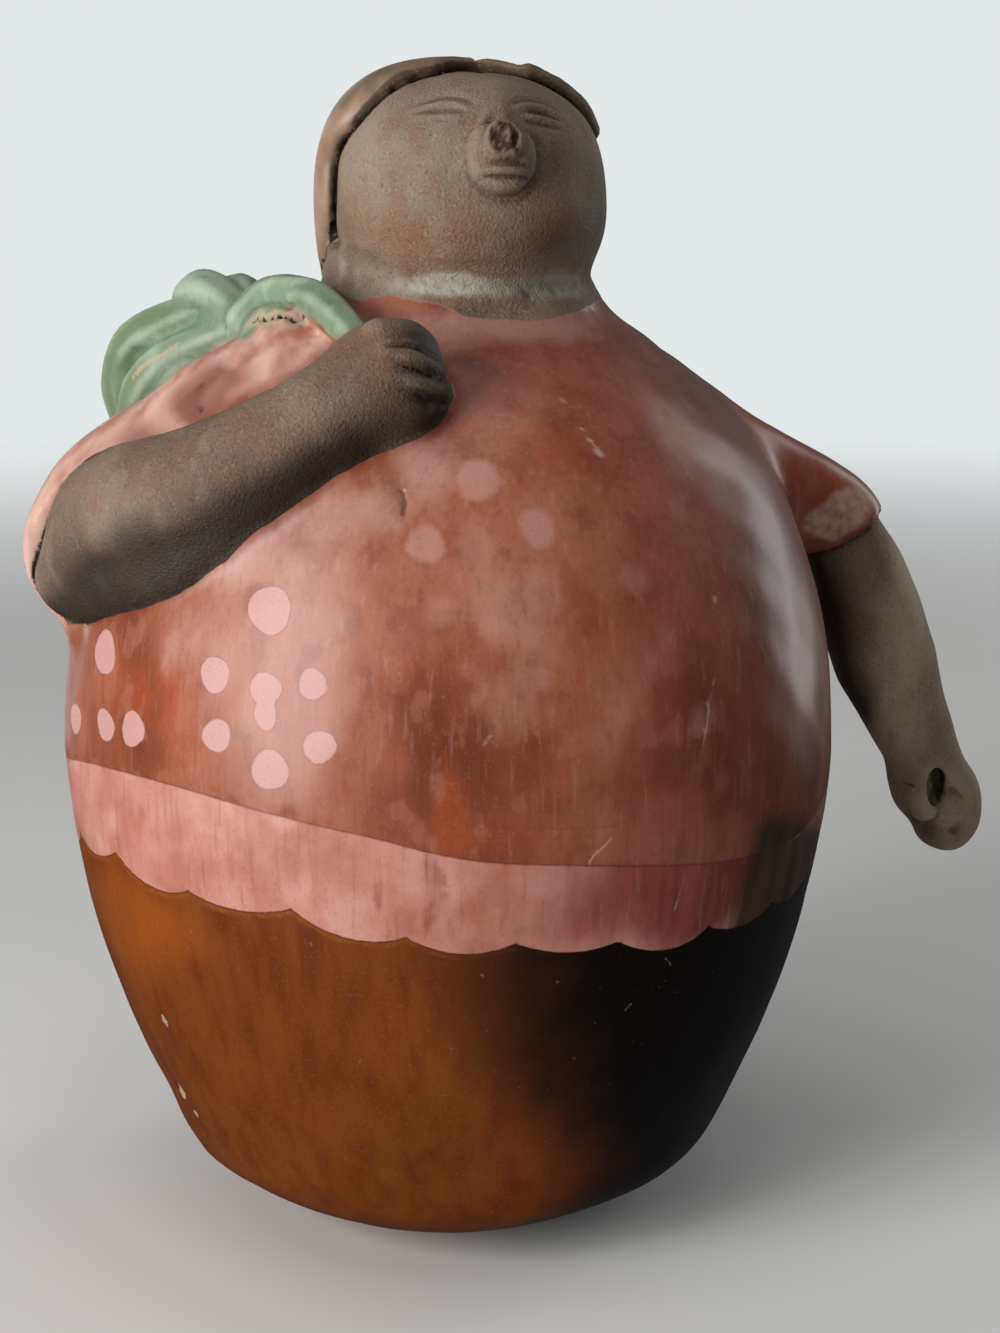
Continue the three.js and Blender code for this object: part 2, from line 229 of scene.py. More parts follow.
GROOVES = [
    *FINGER_GROOVES,
    HAIR_END_GROOVE,
    (-0.5, 0.8, [(-24.5, -59.8, 193.4), (-21, -59, 192.7), (-17.4, -56.6, 191)]),
    (-0.5, 0.8, [(-24, -60.8, 189.4), (-20.6, -59.8, 188.5), (-16.6, -56.4, 187)]),
    (0.6, 0.5, [(105.5, -5.5, 87.2), (108, -7, 87), (110.4, -8.4, 86.2)]),
    (1.6, 2.4, [(-46, -20, 191.4), (-50, -20.4, 188.8), (-54, -20, 185), (-58.7, -18.5, 181)]),
    (1.5, 1.8, [(-57, -20, 181), (-54.6, -21.5, 180)]),
    (-0.7, 2.2, [(-62, -9, 184.5), (-57.5, -11, 187.4), (-53, -13, 189.6)]),
    (0.5, 0.7, [(-16, -29.5, 208.5), (-6, -34, 207.6), (6, -35.5, 207.4), (17, -31, 207)]),
    (0.9, 0.8, PARTING),
    (0.8, 0.8, [(-68.3, 20, 180), (-67.8, 18.8, 185), (-65, 15, 188.6), (-61.5, 11, 191), (-56, 6.5, 194.6)]),
    (0.6, 0.7, [(-55.3, 12.6, 199), (-52, 9, 199.6), (-48.6, 5, 198.4)]),
]
NECK_RIDGES = 202.5  # the height of the ridges that hands left round the neck's joint
CRUMBLE = [(-43.6, -10, 198), (-42, -13.5, 197.6), (-39.5, -16.4, 198.2), (-35.4, -19, 198)]
CRUMBLE_CRACKS = [[(-43.8, -11, 197.6), (-43, -12, 198.6), (-41.8, -13.8, 197.6), (-41, -15, 198.8),
                   (-40, -15.8, 198.4)],
                  [(-39, -16.4, 199.2), (-37.4, -17.4, 199.4), (-36.2, -18.4, 198.4), (-34.6, -19.4, 198.4)]]
SHOULDER_PIT = (-56, -19.5, 180.2)

# Painted edges. Heights are above the floor, and turns are in degrees from straight ahead (-Y)
# towards her left.
HEM = [(-180, 98), (-150, 92.8), (-120, 96.4), (-90, 105), (-75, 109), (-57, 110.8), (-40, 109),
       (-25, 105.6), (-13, 101.6), (-7, 100.4), (1, 99.3), (12, 97.2), (30, 93.8), (45, 93.4), (60, 96),
       (90, 105), (120, 110.5), (150, 107), (180, 98)]
FRONT_CUSPS = [(-84, 91), (-68.3, 92.7), (-52.5, 89.6), (-35.3, 89.8), (-19.7, 85.6), (-5.1, 83.9),
               (10, 82), (25.5, 80.9), (41, 80.4)]
NECKLINE = [(-180, 201), (-90, 203), (-64, 202.5), (-51, 200.9), (-38, 202.8), (-27, 201.9), (-16, 201),
            (-8, 198.8), (2, 198.2), (17, 197.8), (30, 198.7), (55, 200.3), (180, 201)]
GREEN_EDGE = [(-72, 172.5), (-67.7, 176.4), (-62.5, 181.6), (-56, 186.6), (-49.8, 190.6), (-45, 194),
              (-43, 196.4), (-41, 198.4), (-36.6, 200), (-34, 197.9), (-31, 195)]

# Light dots, as (turn, height, half width, half height), and the chest's dots that the smoke dulled.
CLUSTER = [(0.2, 1.7, 3.3, 3.2), (0.5, -3, 2.3, 3.4), (-8.0, 3.1, 3.5, 3.4), (7.1, 3.2, 3.1, 2.8),
           (-6.9, -8.3, 3.6, 3.1), (8.5, -8.3, 3.4, 3.2), (1.5, -13.5, 3.8, 4.1), (-0.4, 16, 4.5, 4.6)]
SIDE_CLUSTER = [(0, 0, 4.2, 3.2), (-2.0, 14.2, 5.4, 4.2), (-11.3, -2, 4.2, 3.1), (7.9, 1.4, 4.2, 3.7)]
FADED_DOTS = [(-8.8, 170.6, 4, 3.8), (-17.1, 159.5, 3.5, 3.4), (-0.2, 162, 3.4, 3.6)]
FAINT_DOTS = [(-15, 147.6, 3.6, 3.2), (-7.7, 144.8, 3.4, 3.2), (-0.4, 150.6, 4.4, 5), (-9.7, 159.2, 3.6, 4.8),
              (25.4, 163.6, 3, 3.2), (22.2, 124, 3, 3.4), (14, 152, 3.4, 3.4), (-3, 135, 4, 3.4)]

# Scratches on the body, as (strength, half width, places by turn and height). They show pale.
SCRATCHES = [
    (0.9, 0.22, [(7.8, 103.8), (6.6, 102), (5.2, 100.4), (4.6, 98.8)]),
    (0.6, 0.3, [(3.4, 97.4), (2.6, 96.6)]),
    (1.0, 0.45, [(10.9, 184), (12, 182.2), (12.8, 180.6)]),
    (1.0, 0.4, [(12.6, 178.6), (13.2, 176), (14, 173.4)]),
    (0.6, 0.3, [(5, 186), (3.4, 181), (1.6, 178.6)]),
    (0.9, 0.25, [(28, 147), (27.6, 141.1), (27.3, 136.4)]),
    (0.8, 0.3, [(25.4, 131.5), (24, 127), (22.9, 121), (21.8, 116.2)]),
    (0.9, 0.25, [(22.4, 112), (21, 107), (20.4, 101), (19.4, 92), (18.4, 86)]),
    (0.6, 0.7, [(-9.8, 122.4), (-8.6, 124.4), (-8, 126)]),
    (0.35, 0.4, [(-24.4, 170.2), (-22.4, 168.6), (-19.6, 168.8)]),
    (0.4, 0.4, [(-21.5, 171), (-20.9, 168.4), (-19.8, 166)]),
    (0.6, 0.25, [(-36, 80), (-35, 77.5), (-35.4, 75)]),
    (0.6, 0.3, [(-10.5, 78.5), (-9, 76.5), (-8.6, 75)]),
    (0.6, 0.3, [(18, 76.2), (19.2, 74.4)]),
    (0.6, 0.3, [(12, 66), (13.2, 67.4)]),
]
# Gouges that stay dark, given like the scratches.
GOUGES = [
    (1.0, 0.7, [(-21.2, 168.4), (-20.6, 166.6), (-20.8, 164.6)]),
    (0.5, 0.35, [(-9, 107.6), (-3, 107), (3, 106.2), (9, 105.8)]),
    (0.45, 0.3, [(-10, 105.8), (-3, 105), (6, 104.4)]),
]
# Dirt that has run down the band, given like the scratches.
SMEARS = [
    (1.0, 1.3, [(-16.4, 101), (-16, 95), (-16.6, 87.5)]),
    (0.7, 0.7, [(-14.4, 99.4), (-14.6, 92)]),
    (0.6, 0.6, [(-29.6, 98), (-29.4, 93)]),
    (0.5, 0.6, [(-23, 97), (-23.2, 90)]),
    (0.6, 0.9, [(6, 96), (6.4, 91)]),
    (0.6, 0.8, [(-60, 104), (-58.6, 99)]),
]
# Chips through the slip, as (turn, height, half width, half height, depth).
CHIPS = [(-73.1, 35.3, 1.5, 2.2, 0.5), (-65.7, 55.2, 0.8, 1.8, 0.3), (-70.5, 30.6, 0.7, 0.9, 0.3),
         (-44, 5.4, 2.6, 1.8, 0.6), (152, 22, 2.4, 3, 0.5)]
RED_OVAL = (50.5, 107.5, 5, 9.5)
# The skirt's fire cloud, which also paints the shade on her lower right and along the bottom: its left
# edge as (height, turn), the turn where it ends, and the degrees over which it thickens.
CLOUD_AND_SHADE_EDGE = [(0, 8), (14, 14), (26, 16), (44, 4), (58, -4), (72, -7), (84, -9)]
CLOUD_AND_SHADE_END = 112
CLOUD_AND_SHADE_FADE = 8
# The olive cloud above it: the same, with an upper edge as (turn, height). The fade is in degrees at
# the left edge and in millimetres at the upper one.
OLIVE_EDGE = [(70, 28), (84, 30.5), (92, 31.5), (98, 33), (106, 38)]
OLIVE_TOP = [(28, 99), (36, 101.5), (43, 99), (56, 92), (80, 88)]
OLIVE_END = 104
OLIVE_FADE = 3.5
OLIVE_END_FADE = 16
# Smaller clouds on her back, given like the soft patches below.
BACK_SMOKE = [(1.0, (-30, 70, 40), (40, 34, 24))]
BACK_OLIVE = [(0.7, (-10, 84, 96), (34, 30, 14))]

# Soft patches of colour by kind, as (strength, centre, reach along x, y and z).
STAINS = {
    # The pink bloom of the slip: under the forearm, round the neck, over the faded dots, and in wide
    # thin patches on her left side and her back.
    "bloom": [(1.0, (-36, -62, 164), (15, 14, 7)), (0.9, (-54, -52, 154), (16, 18, 7)),
              (1.2, (-19, -60, 173), (6, 12, 7)), (1.3, (4, -36, 197), (28, 16, 4)),
              (0.9, (-20, -40, 192), (8, 12, 6)),
              (0.6, (-10, -74, 152), (11, 16, 9)), (0.55, (-4, -78, 144), (8, 16, 8)),
              (0.6, (-8, -80, 130), (12, 18, 8)), (0.5, (14, -76, 124), (7, 16, 10)),
              (0.8, (-64, -50, 138), (12, 16, 9)),
              (0.5, (22, -74, 138), (8, 16, 10)), (0.6, (34, -50, 176), (8, 20, 12)),
              (0.8, (71, -40, 112), (9, 16, 18)), (0.6, (-60, 40, 150), (30, 30, 22)),
              (0.5, (40, 66, 120), (34, 26, 26))],
    # Orange where the fire was cleanest, and the deep rose end of the band.
    "rust": [(1.0, (-20, -80, 111), (4, 12, 11)), (0.8, (-70, -40, 127), (11, 24, 9)),
             (0.5, (8, -78, 141), (9, 16, 12)), (0.8, (4, -62, 176), (12, 16, 8)),
             (0.7, (-10, -79, 105), (12, 12, 5)), (0.9, (66, -8, 172), (14, 10, 8)),
             (1.1, (82, -10, 160), (14, 12, 6)),
             (0.6, (-12, -66, 167), (9, 12, 7)), (0.5, (0, 82, 130), (28, 20, 24))],
    "rose": [(0.45, (8, -82, 90), (10, 16, 9)), (1.1, (30, -77, 90), (13, 20, 12)),
             (0.9, (40, -73, 98), (11, 16, 12)), (0.5, (22, -78, 100), (9, 14, 6)),
             (0.7, (60, 50, 92), (40, 40, 14))],
    "rubbed": [(1.0, (104, -8, 124), (9, 10, 32)), (0.9, (117, -6, 84), (9, 8, 10))],
    "crimson": [(0.9, (36, -74, 106), (7, 12, 4.5)), (0.7, (33, -74, 117), (8, 12, 5))],
    "cuff": [(1.3, (84, -10.5, 150), (6, 7, 4)), (1.5, (90, -10, 153.6), (6, 7, 4.4))],
    "dusty": [(1.0, (-50, 12, 203.5), (13, 18, 4.5)), (0.5, (-37, -12, 206), (8, 10, 3))],
    "mossy": [(1.0, (-67, 20, 184), (9, 14, 14)), (0.8, (-57, 14, 197), (8, 10, 3.6))],
    "ember": [(1.0, (-76, -26, 76), (9, 26, 16)), (0.6, (-66, -46, 80), (12, 16, 8)),
              (0.4, (-30, -72, 64), (10, 16, 18))],
    # Pale pink slip rubbed over her right shoulder and sleeve, and behind the left one.
    "blush": [(1.0, (-45, -17, 190), (13, 12, 8)), (1.0, (-64, -9, 178), (14, 14, 12)),
              (1.2, (-84, -4, 158), (18, 20, 24)), (0.9, (-37, -20, 194), (8, 8, 6)),
              (0.6, (62, 20, 160), (10, 12, 8))],
    "blood": [(1.0, (-35, -22, 195), (5, 5, 3.4)), (0.6, (-44, -19, 192), (6, 5, 3)),
              (0.5, (-50, -19, 186), (5, 5, 4))],
    # Painted shade along the valley between her right sleeve and chest, and in the shoulder's pit.
    "worn": [(1.0, (-50, -20, 187), (7, 6, 3)), (1.1, (-56.5, -19, 182), (7, 6, 4)),
             (0.8, (-66, -14, 174), (9, 6, 4)), (1.2, SHOULDER_PIT, (3.4, 3, 2.4))],
    # On the bare clay: soot, which also paints shade on the sides turned from the light and on her left arm's
    # inner edge; a warm brown; and pale scuffs, which also paint highlight on the neck's upward slope and the
    # muzzle's left flank.
    "char": [(1.3, (-16.5, -55, 186), (7.5, 10, 11)), (0.45, (-29, -58, 188), (12, 10, 10)),
             (0.24, (4, -34, 213.5), (22, 10, 6)), (0.2, (23, -24, 221), (10, 12, 14)),
             (0.35, (-35, -56, 191.5), (9, 8, 9)), (0.25, (-50, -48, 180), (14, 12, 10)),
             (0.9, (-19, -52, 197.5), (5, 8, 3)), (0.4, (14, -34, 212), (14, 12, 8)),
             (0.5, (28, -20, 218), (9, 14, 14)), (1.8, (86.5, 2, 121), (7, 14, 26)),
             (1.5, (95.5, 2, 102), (5, 12, 14)), (0.5, (114, -6, 74), (8, 8, 4)),
             (0.5, (22, 18, 222), (20, 12, 22)), (0.85, (2.4, -41, 232), (3.8, 5, 4.2)),
             (0.5, (8, -38, 226), (5, 6, 5))],
    "warm": [(1.0, (-30, -57, 193), (13, 9, 9)), (0.9, (-14, -29, 213), (15, 12, 7)),
             (0.6, (-24, -15, 222), (8, 12, 12)), (0.6, (116, -5, 82), (10, 9, 10)),
             (0.7, (12, -34, 217), (16, 12, 9)), (0.7, (-62, -40, 170), (18, 14, 7)),
             (0.6, (-46, -54, 180), (14, 12, 6))],
    "ash": [(1.3, (-7.5, -29, 205), (8, 6, 2.2)), (0.75, (4, -28, 204.5), (26, 10, 3.4)),
            (0.5, (-24, -12, 206), (8, 10, 4)), (0.6, (20, -24, 203.5), (9, 9, 3)),
            (0.5, (-5.6, -38, 229), (2, 5, 5)), (0.4, (4, 24, 205), (24, 10, 4))],
}
# Spots of painted shade in the shoulder's pit and where the left sleeve meets the body, given like the soft
# patches.
SHADE_SPOTS = [(0.55, SHOULDER_PIT, (2.4, 2.4, 2.2)), (0.7, (75.5, -9.5, 150.5), (3, 3, 3)),
              (0.5, (80.5, -9.5, 147), (2.2, 3, 2.4))]
BEIGE_LINE = [(-66, 10.7, 184), (-63.5, 8.5, 187), (-60.7, 6, 188.8), (-57.1, 4, 191.3)]


def linear(code):
    """A colour given as an sRGB hex code, as linear red, green, blue and alpha."""
    parts = [int(code[i : i + 2], 16) / 255 for i in (1, 3, 5)]
    return [c / 12.92 if c <= 0.04045 else ((c + 0.055) / 1.055) ** 2.4 for c in parts] + [1.0]


# Paths, turned profiles and their surfaces

LINE_STEPS = 24  # points along a cut or painted line
CURVE_STEPS = 240  # points up the body's outline and round its hem


def smooth_path(places, count):
    """Evenly spaced points along the centripetal Catmull-Rom curve through the places.

    Between two places b and c the curve is the cubic with slopes worked out from the places on either
    side, each step weighted by the square root of its length. The ends run straight on.
    """
    p = np.asarray(places, float)
    p = np.vstack([2 * p[0] - p[1], p, 2 * p[-1] - p[-2]])
    step = np.sqrt(np.linalg.norm(np.diff(p, axis=0), axis=1))[:, None]
    a, b, c, d = p[:-3], p[1:-2], p[2:-1], p[3:]
    before, here, after = step[:-2], step[1:-1], step[2:]
    leaving = ((b - a) / before - (c - a) / (before + here) + (c - b) / here) * here
    arriving = ((c - b) / here - (d - b) / (here + after) + (d - c) / after) * here
    t = np.linspace(0, 1, 33)[None, :, None]
    curve = (
        (2 * t**3 - 3 * t**2 + 1) * b[:, None] + (t**3 - 2 * t**2 + t) * leaving[:, None]
        + (3 * t**2 - 2 * t**3) * c[:, None] + (t**3 - t**2) * arriving[:, None]
    )
    curve = np.vstack([curve[:, :-1].reshape(-1, p.shape[1]), p[-2]])
    run = np.concatenate([[0], np.cumsum(np.linalg.norm(np.diff(curve, axis=0), axis=1))])
    at = np.linspace(0, run[-1], count)
    return np.stack([np.interp(at, run, axis) for axis in curve.T], axis=1)


def rod_frame(name):
    """A limb's middle line, its directions and its radius at even stations.

    Up is Y made square to the line, across is up x ahead, and the radius runs straight between the
    listed values, which are evenly spaced along the line.
    """
    places, radii = RODS[name]
    steps = 9 * len(places)
    middle = smooth_path(places, steps)
    ahead = np.gradient(middle, axis=0)
    ahead /= np.linalg.norm(ahead, axis=1, keepdims=True)
    up = np.array([0.0, 1.0, 0.0]) - ahead * ahead[:, 1:2]
    up /= np.linalg.norm(up, axis=1, keepdims=True)
    radius = np.interp(np.linspace(0, 1, steps), np.linspace(0, 1, len(radii)), radii)
    return {"middle": middle, "ahead": ahead, "across": np.cross(up, ahead), "up": up, "radius": radius,
            "widening": FINGER_WIDENING if name == "fingers" else 1.0,
            "facet": FACET_DEPTH if name in PLANTAINS else 0.0}


def rod_rings(rod, sides=24, cap=7):
    """A limb's skin: rings of radius r(s) round its middle line m(s), closed by two round ends.

    A ring's points are m + r (cos a across + w sin a up), with w the widening. On the ends the rings
    shrink as r cos b while they move out along the line by r sin b.
    """
    bend = np.linspace(0, 0.5 * math.pi, cap + 1)[1:] - 0.02
    first, last = rod["radius"][0], rod["radius"][-1]
    middle, ahead, across, up = (
        np.vstack([np.repeat(rod[k][:1], cap, 0), rod[k], np.repeat(rod[k][-1:], cap, 0)])
        for k in ("middle", "ahead", "across", "up")
    )
    radius = np.concatenate([first * np.cos(bend[::-1]), rod["radius"], last * np.cos(bend)])
    lead = np.concatenate([-first * np.sin(bend[::-1]), np.zeros(len(rod["radius"])), last * np.sin(bend)])
    a = np.linspace(0, 2 * math.pi, sides, endpoint=False)[None, :, None]
    ring = np.cos(a) * across[:, None] + rod["widening"] * np.sin(a) * up[:, None]
    return (middle + ahead * lead[:, None])[:, None] + radius[:, None, None] * ring


def blob_rings(centre, radii, sides=24):
    """An ellipsoid: centre + radii (cos a cos b, sin a cos b, sin b)."""
    b = np.linspace(-0.5 * math.pi + 0.02, 0.5 * math.pi - 0.02, sides // 2)[:, None]
    a = np.linspace(0, 2 * math.pi, sides, endpoint=False)[None]
    ball = np.stack([np.cos(a) * np.cos(b), np.sin(a) * np.cos(b), np.sin(b) + 0 * a], axis=-1)
    return np.array(centre) + ball * np.array(radii)


def turned_rings(heights, radii, centre=(0, 0), sides=160):
    """A profile turned about an upright line: centre + (r sin a, -r cos a, z)."""
    a = np.linspace(0, 2 * math.pi, sides, endpoint=False)[None]
    r, z = np.asarray(radii)[:, None], np.asarray(heights)[:, None]
    return np.stack([centre[0] - r * np.sin(a), centre[1] - r * np.cos(a), z + 0 * a], axis=-1)


BODY_CURVE = smooth_path(BODY_OUTLINE, CURVE_STEPS)
BODY_SLOPE = np.gradient(BODY_CURVE[:, 1]) / np.gradient(BODY_CURVE[:, 0])
ROD_FRAMES = {name: rod_frame(name) for name in RODS}


def body_radius(z):
    """The jar's radius at a height: the smooth outline, and a straight bevel below its lowest station."""
    low = FOOT_RADIUS + (BODY_OUTLINE[0][1] - FOOT_RADIUS) * z / BODY_OUTLINE[0][0]
    return np.where(z < BODY_OUTLINE[0][0], low, np.interp(z, BODY_CURVE[:, 0], BODY_CURVE[:, 1]))


def on_body(places):
    """Places on the jar's skin from (turn, height): (r sin turn, -r cos turn, height)."""
    turn, z = np.array(places, float).T
    turn, r = np.radians(turn), body_radius(z)
    skin = np.stack([r * np.sin(turn), -r * np.cos(turn), z], axis=1)
    skin[:, :2] += neck_lean(z)
    return skin


def smoothstep(x, start, end):
    """0 before start, 1 after end and 3t^2 - 2t^3 between them."""
    t = np.clip((x - start) / (end - start), 0, 1)
    return t * t * (3 - 2 * t)


def neck_lean(z):
    """How far the body's axis has moved sideways at a height."""
    return smoothstep(z, LEAN_START, LEAN_END)[..., None] * np.array(NECK_LEAN)


def dome_half(z):
    """The half height of the dome above or below its widest level."""
    return np.where(z > 0, HEAD_RADII[2], CHIN_DROP)


def past_mouth(points, name):
    """How far points stand out past a sleeve's flat mouth."""
    middle, facing = (np.array(v, float) for v in MOUTHS[name])
    return (points - middle) @ (facing / np.linalg.norm(facing))


def start_shells():
    """Closed grids of points for every mass of clay, overlapping where they will be joined."""
    z = np.concatenate([[0], BODY_CURVE[:, 0]])
    body = turned_rings(z, body_radius(z))
    body[..., :2] += neck_lean(body[..., 2])
    b = np.linspace(-1, 1, 61)[:, None] * (0.5 * math.pi - 0.02)
    a = np.linspace(0, 2 * math.pi, 96, endpoint=False)[None]
    power = 2 / HEAD_FULLNESS
    flat, tall = np.cos(b) ** power, np.sign(b) * np.abs(np.sin(b)) ** power
    head = np.stack([HEAD_RADII[0] * flat * np.cos(a), HEAD_RADII[1] * flat * np.sin(a),
                     dome_half(tall) * tall + 0 * a], axis=-1) + np.array(HEAD_CENTRE)
    crown = HEIGHT - HAIR_CENTRE[2]
    rise = np.sin(np.linspace(0, 0.5 * math.pi - 0.01, 40))
    share = (1 - rise**HAIR_FULLNESS) ** (1 / HAIR_FULLNESS)
    hair = turned_rings(
        np.concatenate([[z for z, _ in HAIR_ENDS], HAIR_CENTRE[2] + crown * rise]),
        np.concatenate([[r for _, r in HAIR_ENDS], HAIR_RADIUS * share]), HAIR_CENTRE, 96,
    )
    hair[..., 0] = HAIR_CENTRE[0] + (hair[..., 0] - HAIR_CENTRE[0]) * HAIR_NARROWING
    hair[..., 1] = np.maximum(hair[..., 1], hair_front(hair.reshape(-1, 3)).reshape(hair.shape[:2]))
    shells = [body, head, hair]
    shells += [blob_rings(*blob) for blob in BLOBS.values()]
    for name, rod in ROD_FRAMES.items():
        rings = rod_rings(rod)
        if name in MOUTHS:
            facing = np.array(MOUTHS[name][1]) / np.linalg.norm(MOUTHS[name][1])
            rings -= np.maximum(past_mouth(rings, name), 0)[..., None] * facing
        shells.append(rings)
    return shells


def shell_mesh(shells):
    """One mesh of closed skins: a square for every step of a grid, and a flat face on its two end rings."""
    points, faces, start = [], [], 0
    for grid in shells:
        rings, sides = grid.shape[:2]
        index = start + np.arange(rings * sides).reshape(rings, sides)
        here, there = index, np.roll(index, -1, axis=1)
        squares = np.stack([here[:-1], there[:-1], there[1:], here[1:]], axis=-1).reshape(-1, 4)
        faces += squares.tolist() + [index[0, ::-1].tolist(), index[-1].tolist()]
        points.append(grid.reshape(-1, 3))
        start += rings * sides
    mesh = bpy.data.meshes.new("shells")
    mesh.from_pydata((np.vstack(points) * MM).tolist(), [], faces)
    mesh.update()
    made = bmesh.new()
    made.from_mesh(mesh)
    bmesh.ops.recalc_face_normals(made, faces=made.faces)
    made.to_mesh(mesh)
    made.free()
    return mesh


# Distances in millimetres from points to each mass of clay: negative inside it

FAR = 30.0


def rod_distance(points, rod):
    """To a limb: the least over its stretches of the distance to the stretch less its radius there.

    A plantain's radius swells by cos(5a) round its middle line, which gives it blunt ridges.
    """
    middle, radius, widening, facet = (rod[k] for k in ("middle", "radius", "widening", "facet"))
    reach = radius.max() * widening + 0.5 * FAR
    near = np.all((points > middle.min(0) - reach) & (points < middle.max(0) + reach), axis=1)
    p = points[near]
    least = np.full(len(p), FAR)
    for i in range(len(middle) - 1):
        along = middle[i + 1] - middle[i]
        t = np.clip((p - middle[i]) @ along / (along @ along), 0, 1)
        off = p - middle[i] - t[:, None] * along
        off[:, 1] /= widening
        here = radius[i] + t * (radius[i + 1] - radius[i])
        if facet:
            round_it = np.arctan2(off @ rod["up"][i], off @ rod["across"][i])
            here = here * (1 + facet * np.cos(PLANTAIN_FACETS * round_it))
        least = np.minimum(least, np.sqrt(np.einsum("ij,ij->i", off, off)) - here)
    out = np.full(len(points), FAR)
    out[near] = least
    return out


def radial_distance(offset, size):
    """To a shape round a centre: the length of the offset less its length where size would be 1."""
    length = np.sqrt(np.einsum("ij,ij->i", offset, offset))
    return length - length / np.maximum(size, 1e-6)


def blob_distance(points, centre, radii, fullness=2):
    """To an ellipsoid |x/a|^n + |y/b|^n + |z/c|^n = 1, measured along the line from its centre."""
    offset = points - np.array(centre)
    size = (np.abs(offset / np.array(radii)) ** fullness).sum(axis=1) ** (1 / fullness)
    return radial_distance(offset, size)


def body_distance(points):
    """To the jar: how far outside its radius, times the cosine of its slope, and cut off above its top."""
    z = points[:, 2]
    off = points[:, :2] - neck_lean(z)
    slope = np.interp(z, BODY_CURVE[:, 0], BODY_SLOPE)
    side = (np.hypot(off[:, 0], off[:, 1]) - body_radius(z)) / np.sqrt(1 + slope**2)
    return np.maximum(side, z - BODY_OUTLINE[-1][0])


def head_distance(points):
    """To the dome, a ball whose upright section follows x^n + z^n = 1."""
    offset = points - np.array(HEAD_CENTRE)
    flat = np.hypot(offset[:, 0] / HEAD_RADII[0], offset[:, 1] / HEAD_RADII[1])
    tall = np.abs(offset[:, 2]) / dome_half(offset[:, 2])
    return radial_distance(offset, (flat**HEAD_FULLNESS + tall**HEAD_FULLNESS) ** (1 / HEAD_FULLNESS))


def hair_front(points):
    """The y of the hair's front edge, which comes forward over her temples and falls back at its end."""
    x, z = points[:, 0], points[:, 2]
    right = smoothstep(-x, -5, 6) * smoothstep(z, 228, 239)
    left = smoothstep(x, 5, 14) * smoothstep(z, 229, 237)
    return HAIR_FRONT - HAIR_FORWARD * np.maximum(right, left) + HAIR_TIP * smoothstep(z, 224, 205)


def cap_distance(points):
    """To the whole cap of hair: a narrowed turned profile, without its front edge."""
    offset = points - np.array(HAIR_CENTRE)
    offset[:, 0] /= HAIR_NARROWING
    flat = np.hypot(offset[:, 0], offset[:, 1])
    tall = np.maximum(offset[:, 2], 0) / (HEIGHT - HAIR_CENTRE[2])
    size = ((flat / HAIR_RADIUS) ** HAIR_FULLNESS + tall**HAIR_FULLNESS) ** (1 / HAIR_FULLNESS)
    upper = radial_distance(offset, size)
    ends = HAIR_ENDS + [[HAIR_CENTRE[2], HAIR_RADIUS]]
    lower = flat - np.interp(points[:, 2], [z for z, _ in ends], [r for _, r in ends])
    return np.where(offset[:, 2] > 0, upper, np.maximum(lower, HAIR_ENDS[0][0] - points[:, 2]))


def soft_max(a, b, width):
    """The larger of two distances, rounded where they come within a width."""
    return -soft_min(-a, -b, width)


def soft_min(a, b, width):
    """The smaller of two distances, rounded where they come within a width: min - h^2 width / 4."""
    h = np.maximum(width - np.abs(a - b), 0) / width
    return np.minimum(a, b) - h * h * width / 4


def part_distances(points):
    """The distance to every mass of clay by name, and to the groups that take one finish."""
    d = {name: rod_distance(points, rod) for name, rod in ROD_FRAMES.items()}
    d |= {name: blob_distance(points, *blob, MUZZLE_FULLNESS if name == "muzzle" else 2)
          for name, blob in BLOBS.items()}
    d |= {"body": body_distance(points), "head": head_distance(points), "cap": cap_distance(points)}
    for name in MOUTHS:
        d[name] = np.maximum(d[name], past_mouth(points, name))
    d["front"] = hair_front(points) - points[:, 1]
    round_edge = 1.2 + 4.8 * smoothstep(-points[:, 0], 12, 20)
    d["hair"] = soft_min(soft_max(d["cap"], d["front"], round_edge), np.minimum(d["knot"], d["strand"]), 1.5)
    fist = d["fist"]
    for name in KNUCKLES:
        fist = soft_min(fist, d[name], 0.8)
    d["right_arm"] = soft_min(soft_min(d["forearm"], fist, 4), d["underarm"], 5)
    hand = soft_min(soft_min(d["left_arm"], d["palm"], 5), soft_min(d["fingers"], d["heel"], 2), 3)
    mouth, radii, lean = (np.array(v, float) for v in HAND_HOLLOW)
    shear = points.copy()
    shear[:, [0, 2]] -= (points[:, 1:2] - mouth[1]) * lean
    d["hand_hollow"] = blob_distance(shear, mouth, radii)
    d["left_hand"] = soft_max(soft_min(hand, d["thumb"], 1.2), -d["hand_hollow"], 1.0)
    bunch = soft_min(d["heart"], d["crown"], 8)
    for name in PLANTAINS:
        bunch = soft_min(bunch, d[name], 0.7)
    d["bunch"] = bunch
    nose = soft_max(d["nose"], face_plane(points)[1] - NOSE_SCAR_OUT, 0.6)
    d["face"] = soft_min(soft_min(d["head"], d["muzzle"], 1.2), nose, 1)
    return d


def figure_distance(points, d, unevenness):
    """To the clay's skin before it is cut: the masses joined with rounded joints, a little uneven.

    Her right forearm is smoothed onto the shoulder, and only its elbow end stands clear.
    """
    skin = soft_min(d["body"], d["face"], 2.4)
    skin = soft_min(skin, d["hair"], 0.7)
    skin = soft_min(skin, d["right_sleeve"], 9)
    skin = soft_min(skin, d["left_sleeve"], 6)
    skin = soft_min(skin, d["bunch"], 2.4)
    skin = soft_min(skin, d["right_arm"], 0.8 + 2.6 * smoothstep(points[:, 0], -66, -50))
    skin = soft_min(skin, d["left_hand"], 0.7)
    wave = noise(points, 34) + 0.35 * noise(points, 11, 1)
    skin = skin + unevenness * wave * smoothstep(points[:, 2], 1, 12)
    return np.maximum(skin, -points[:, 2])


# What is cut into the skin


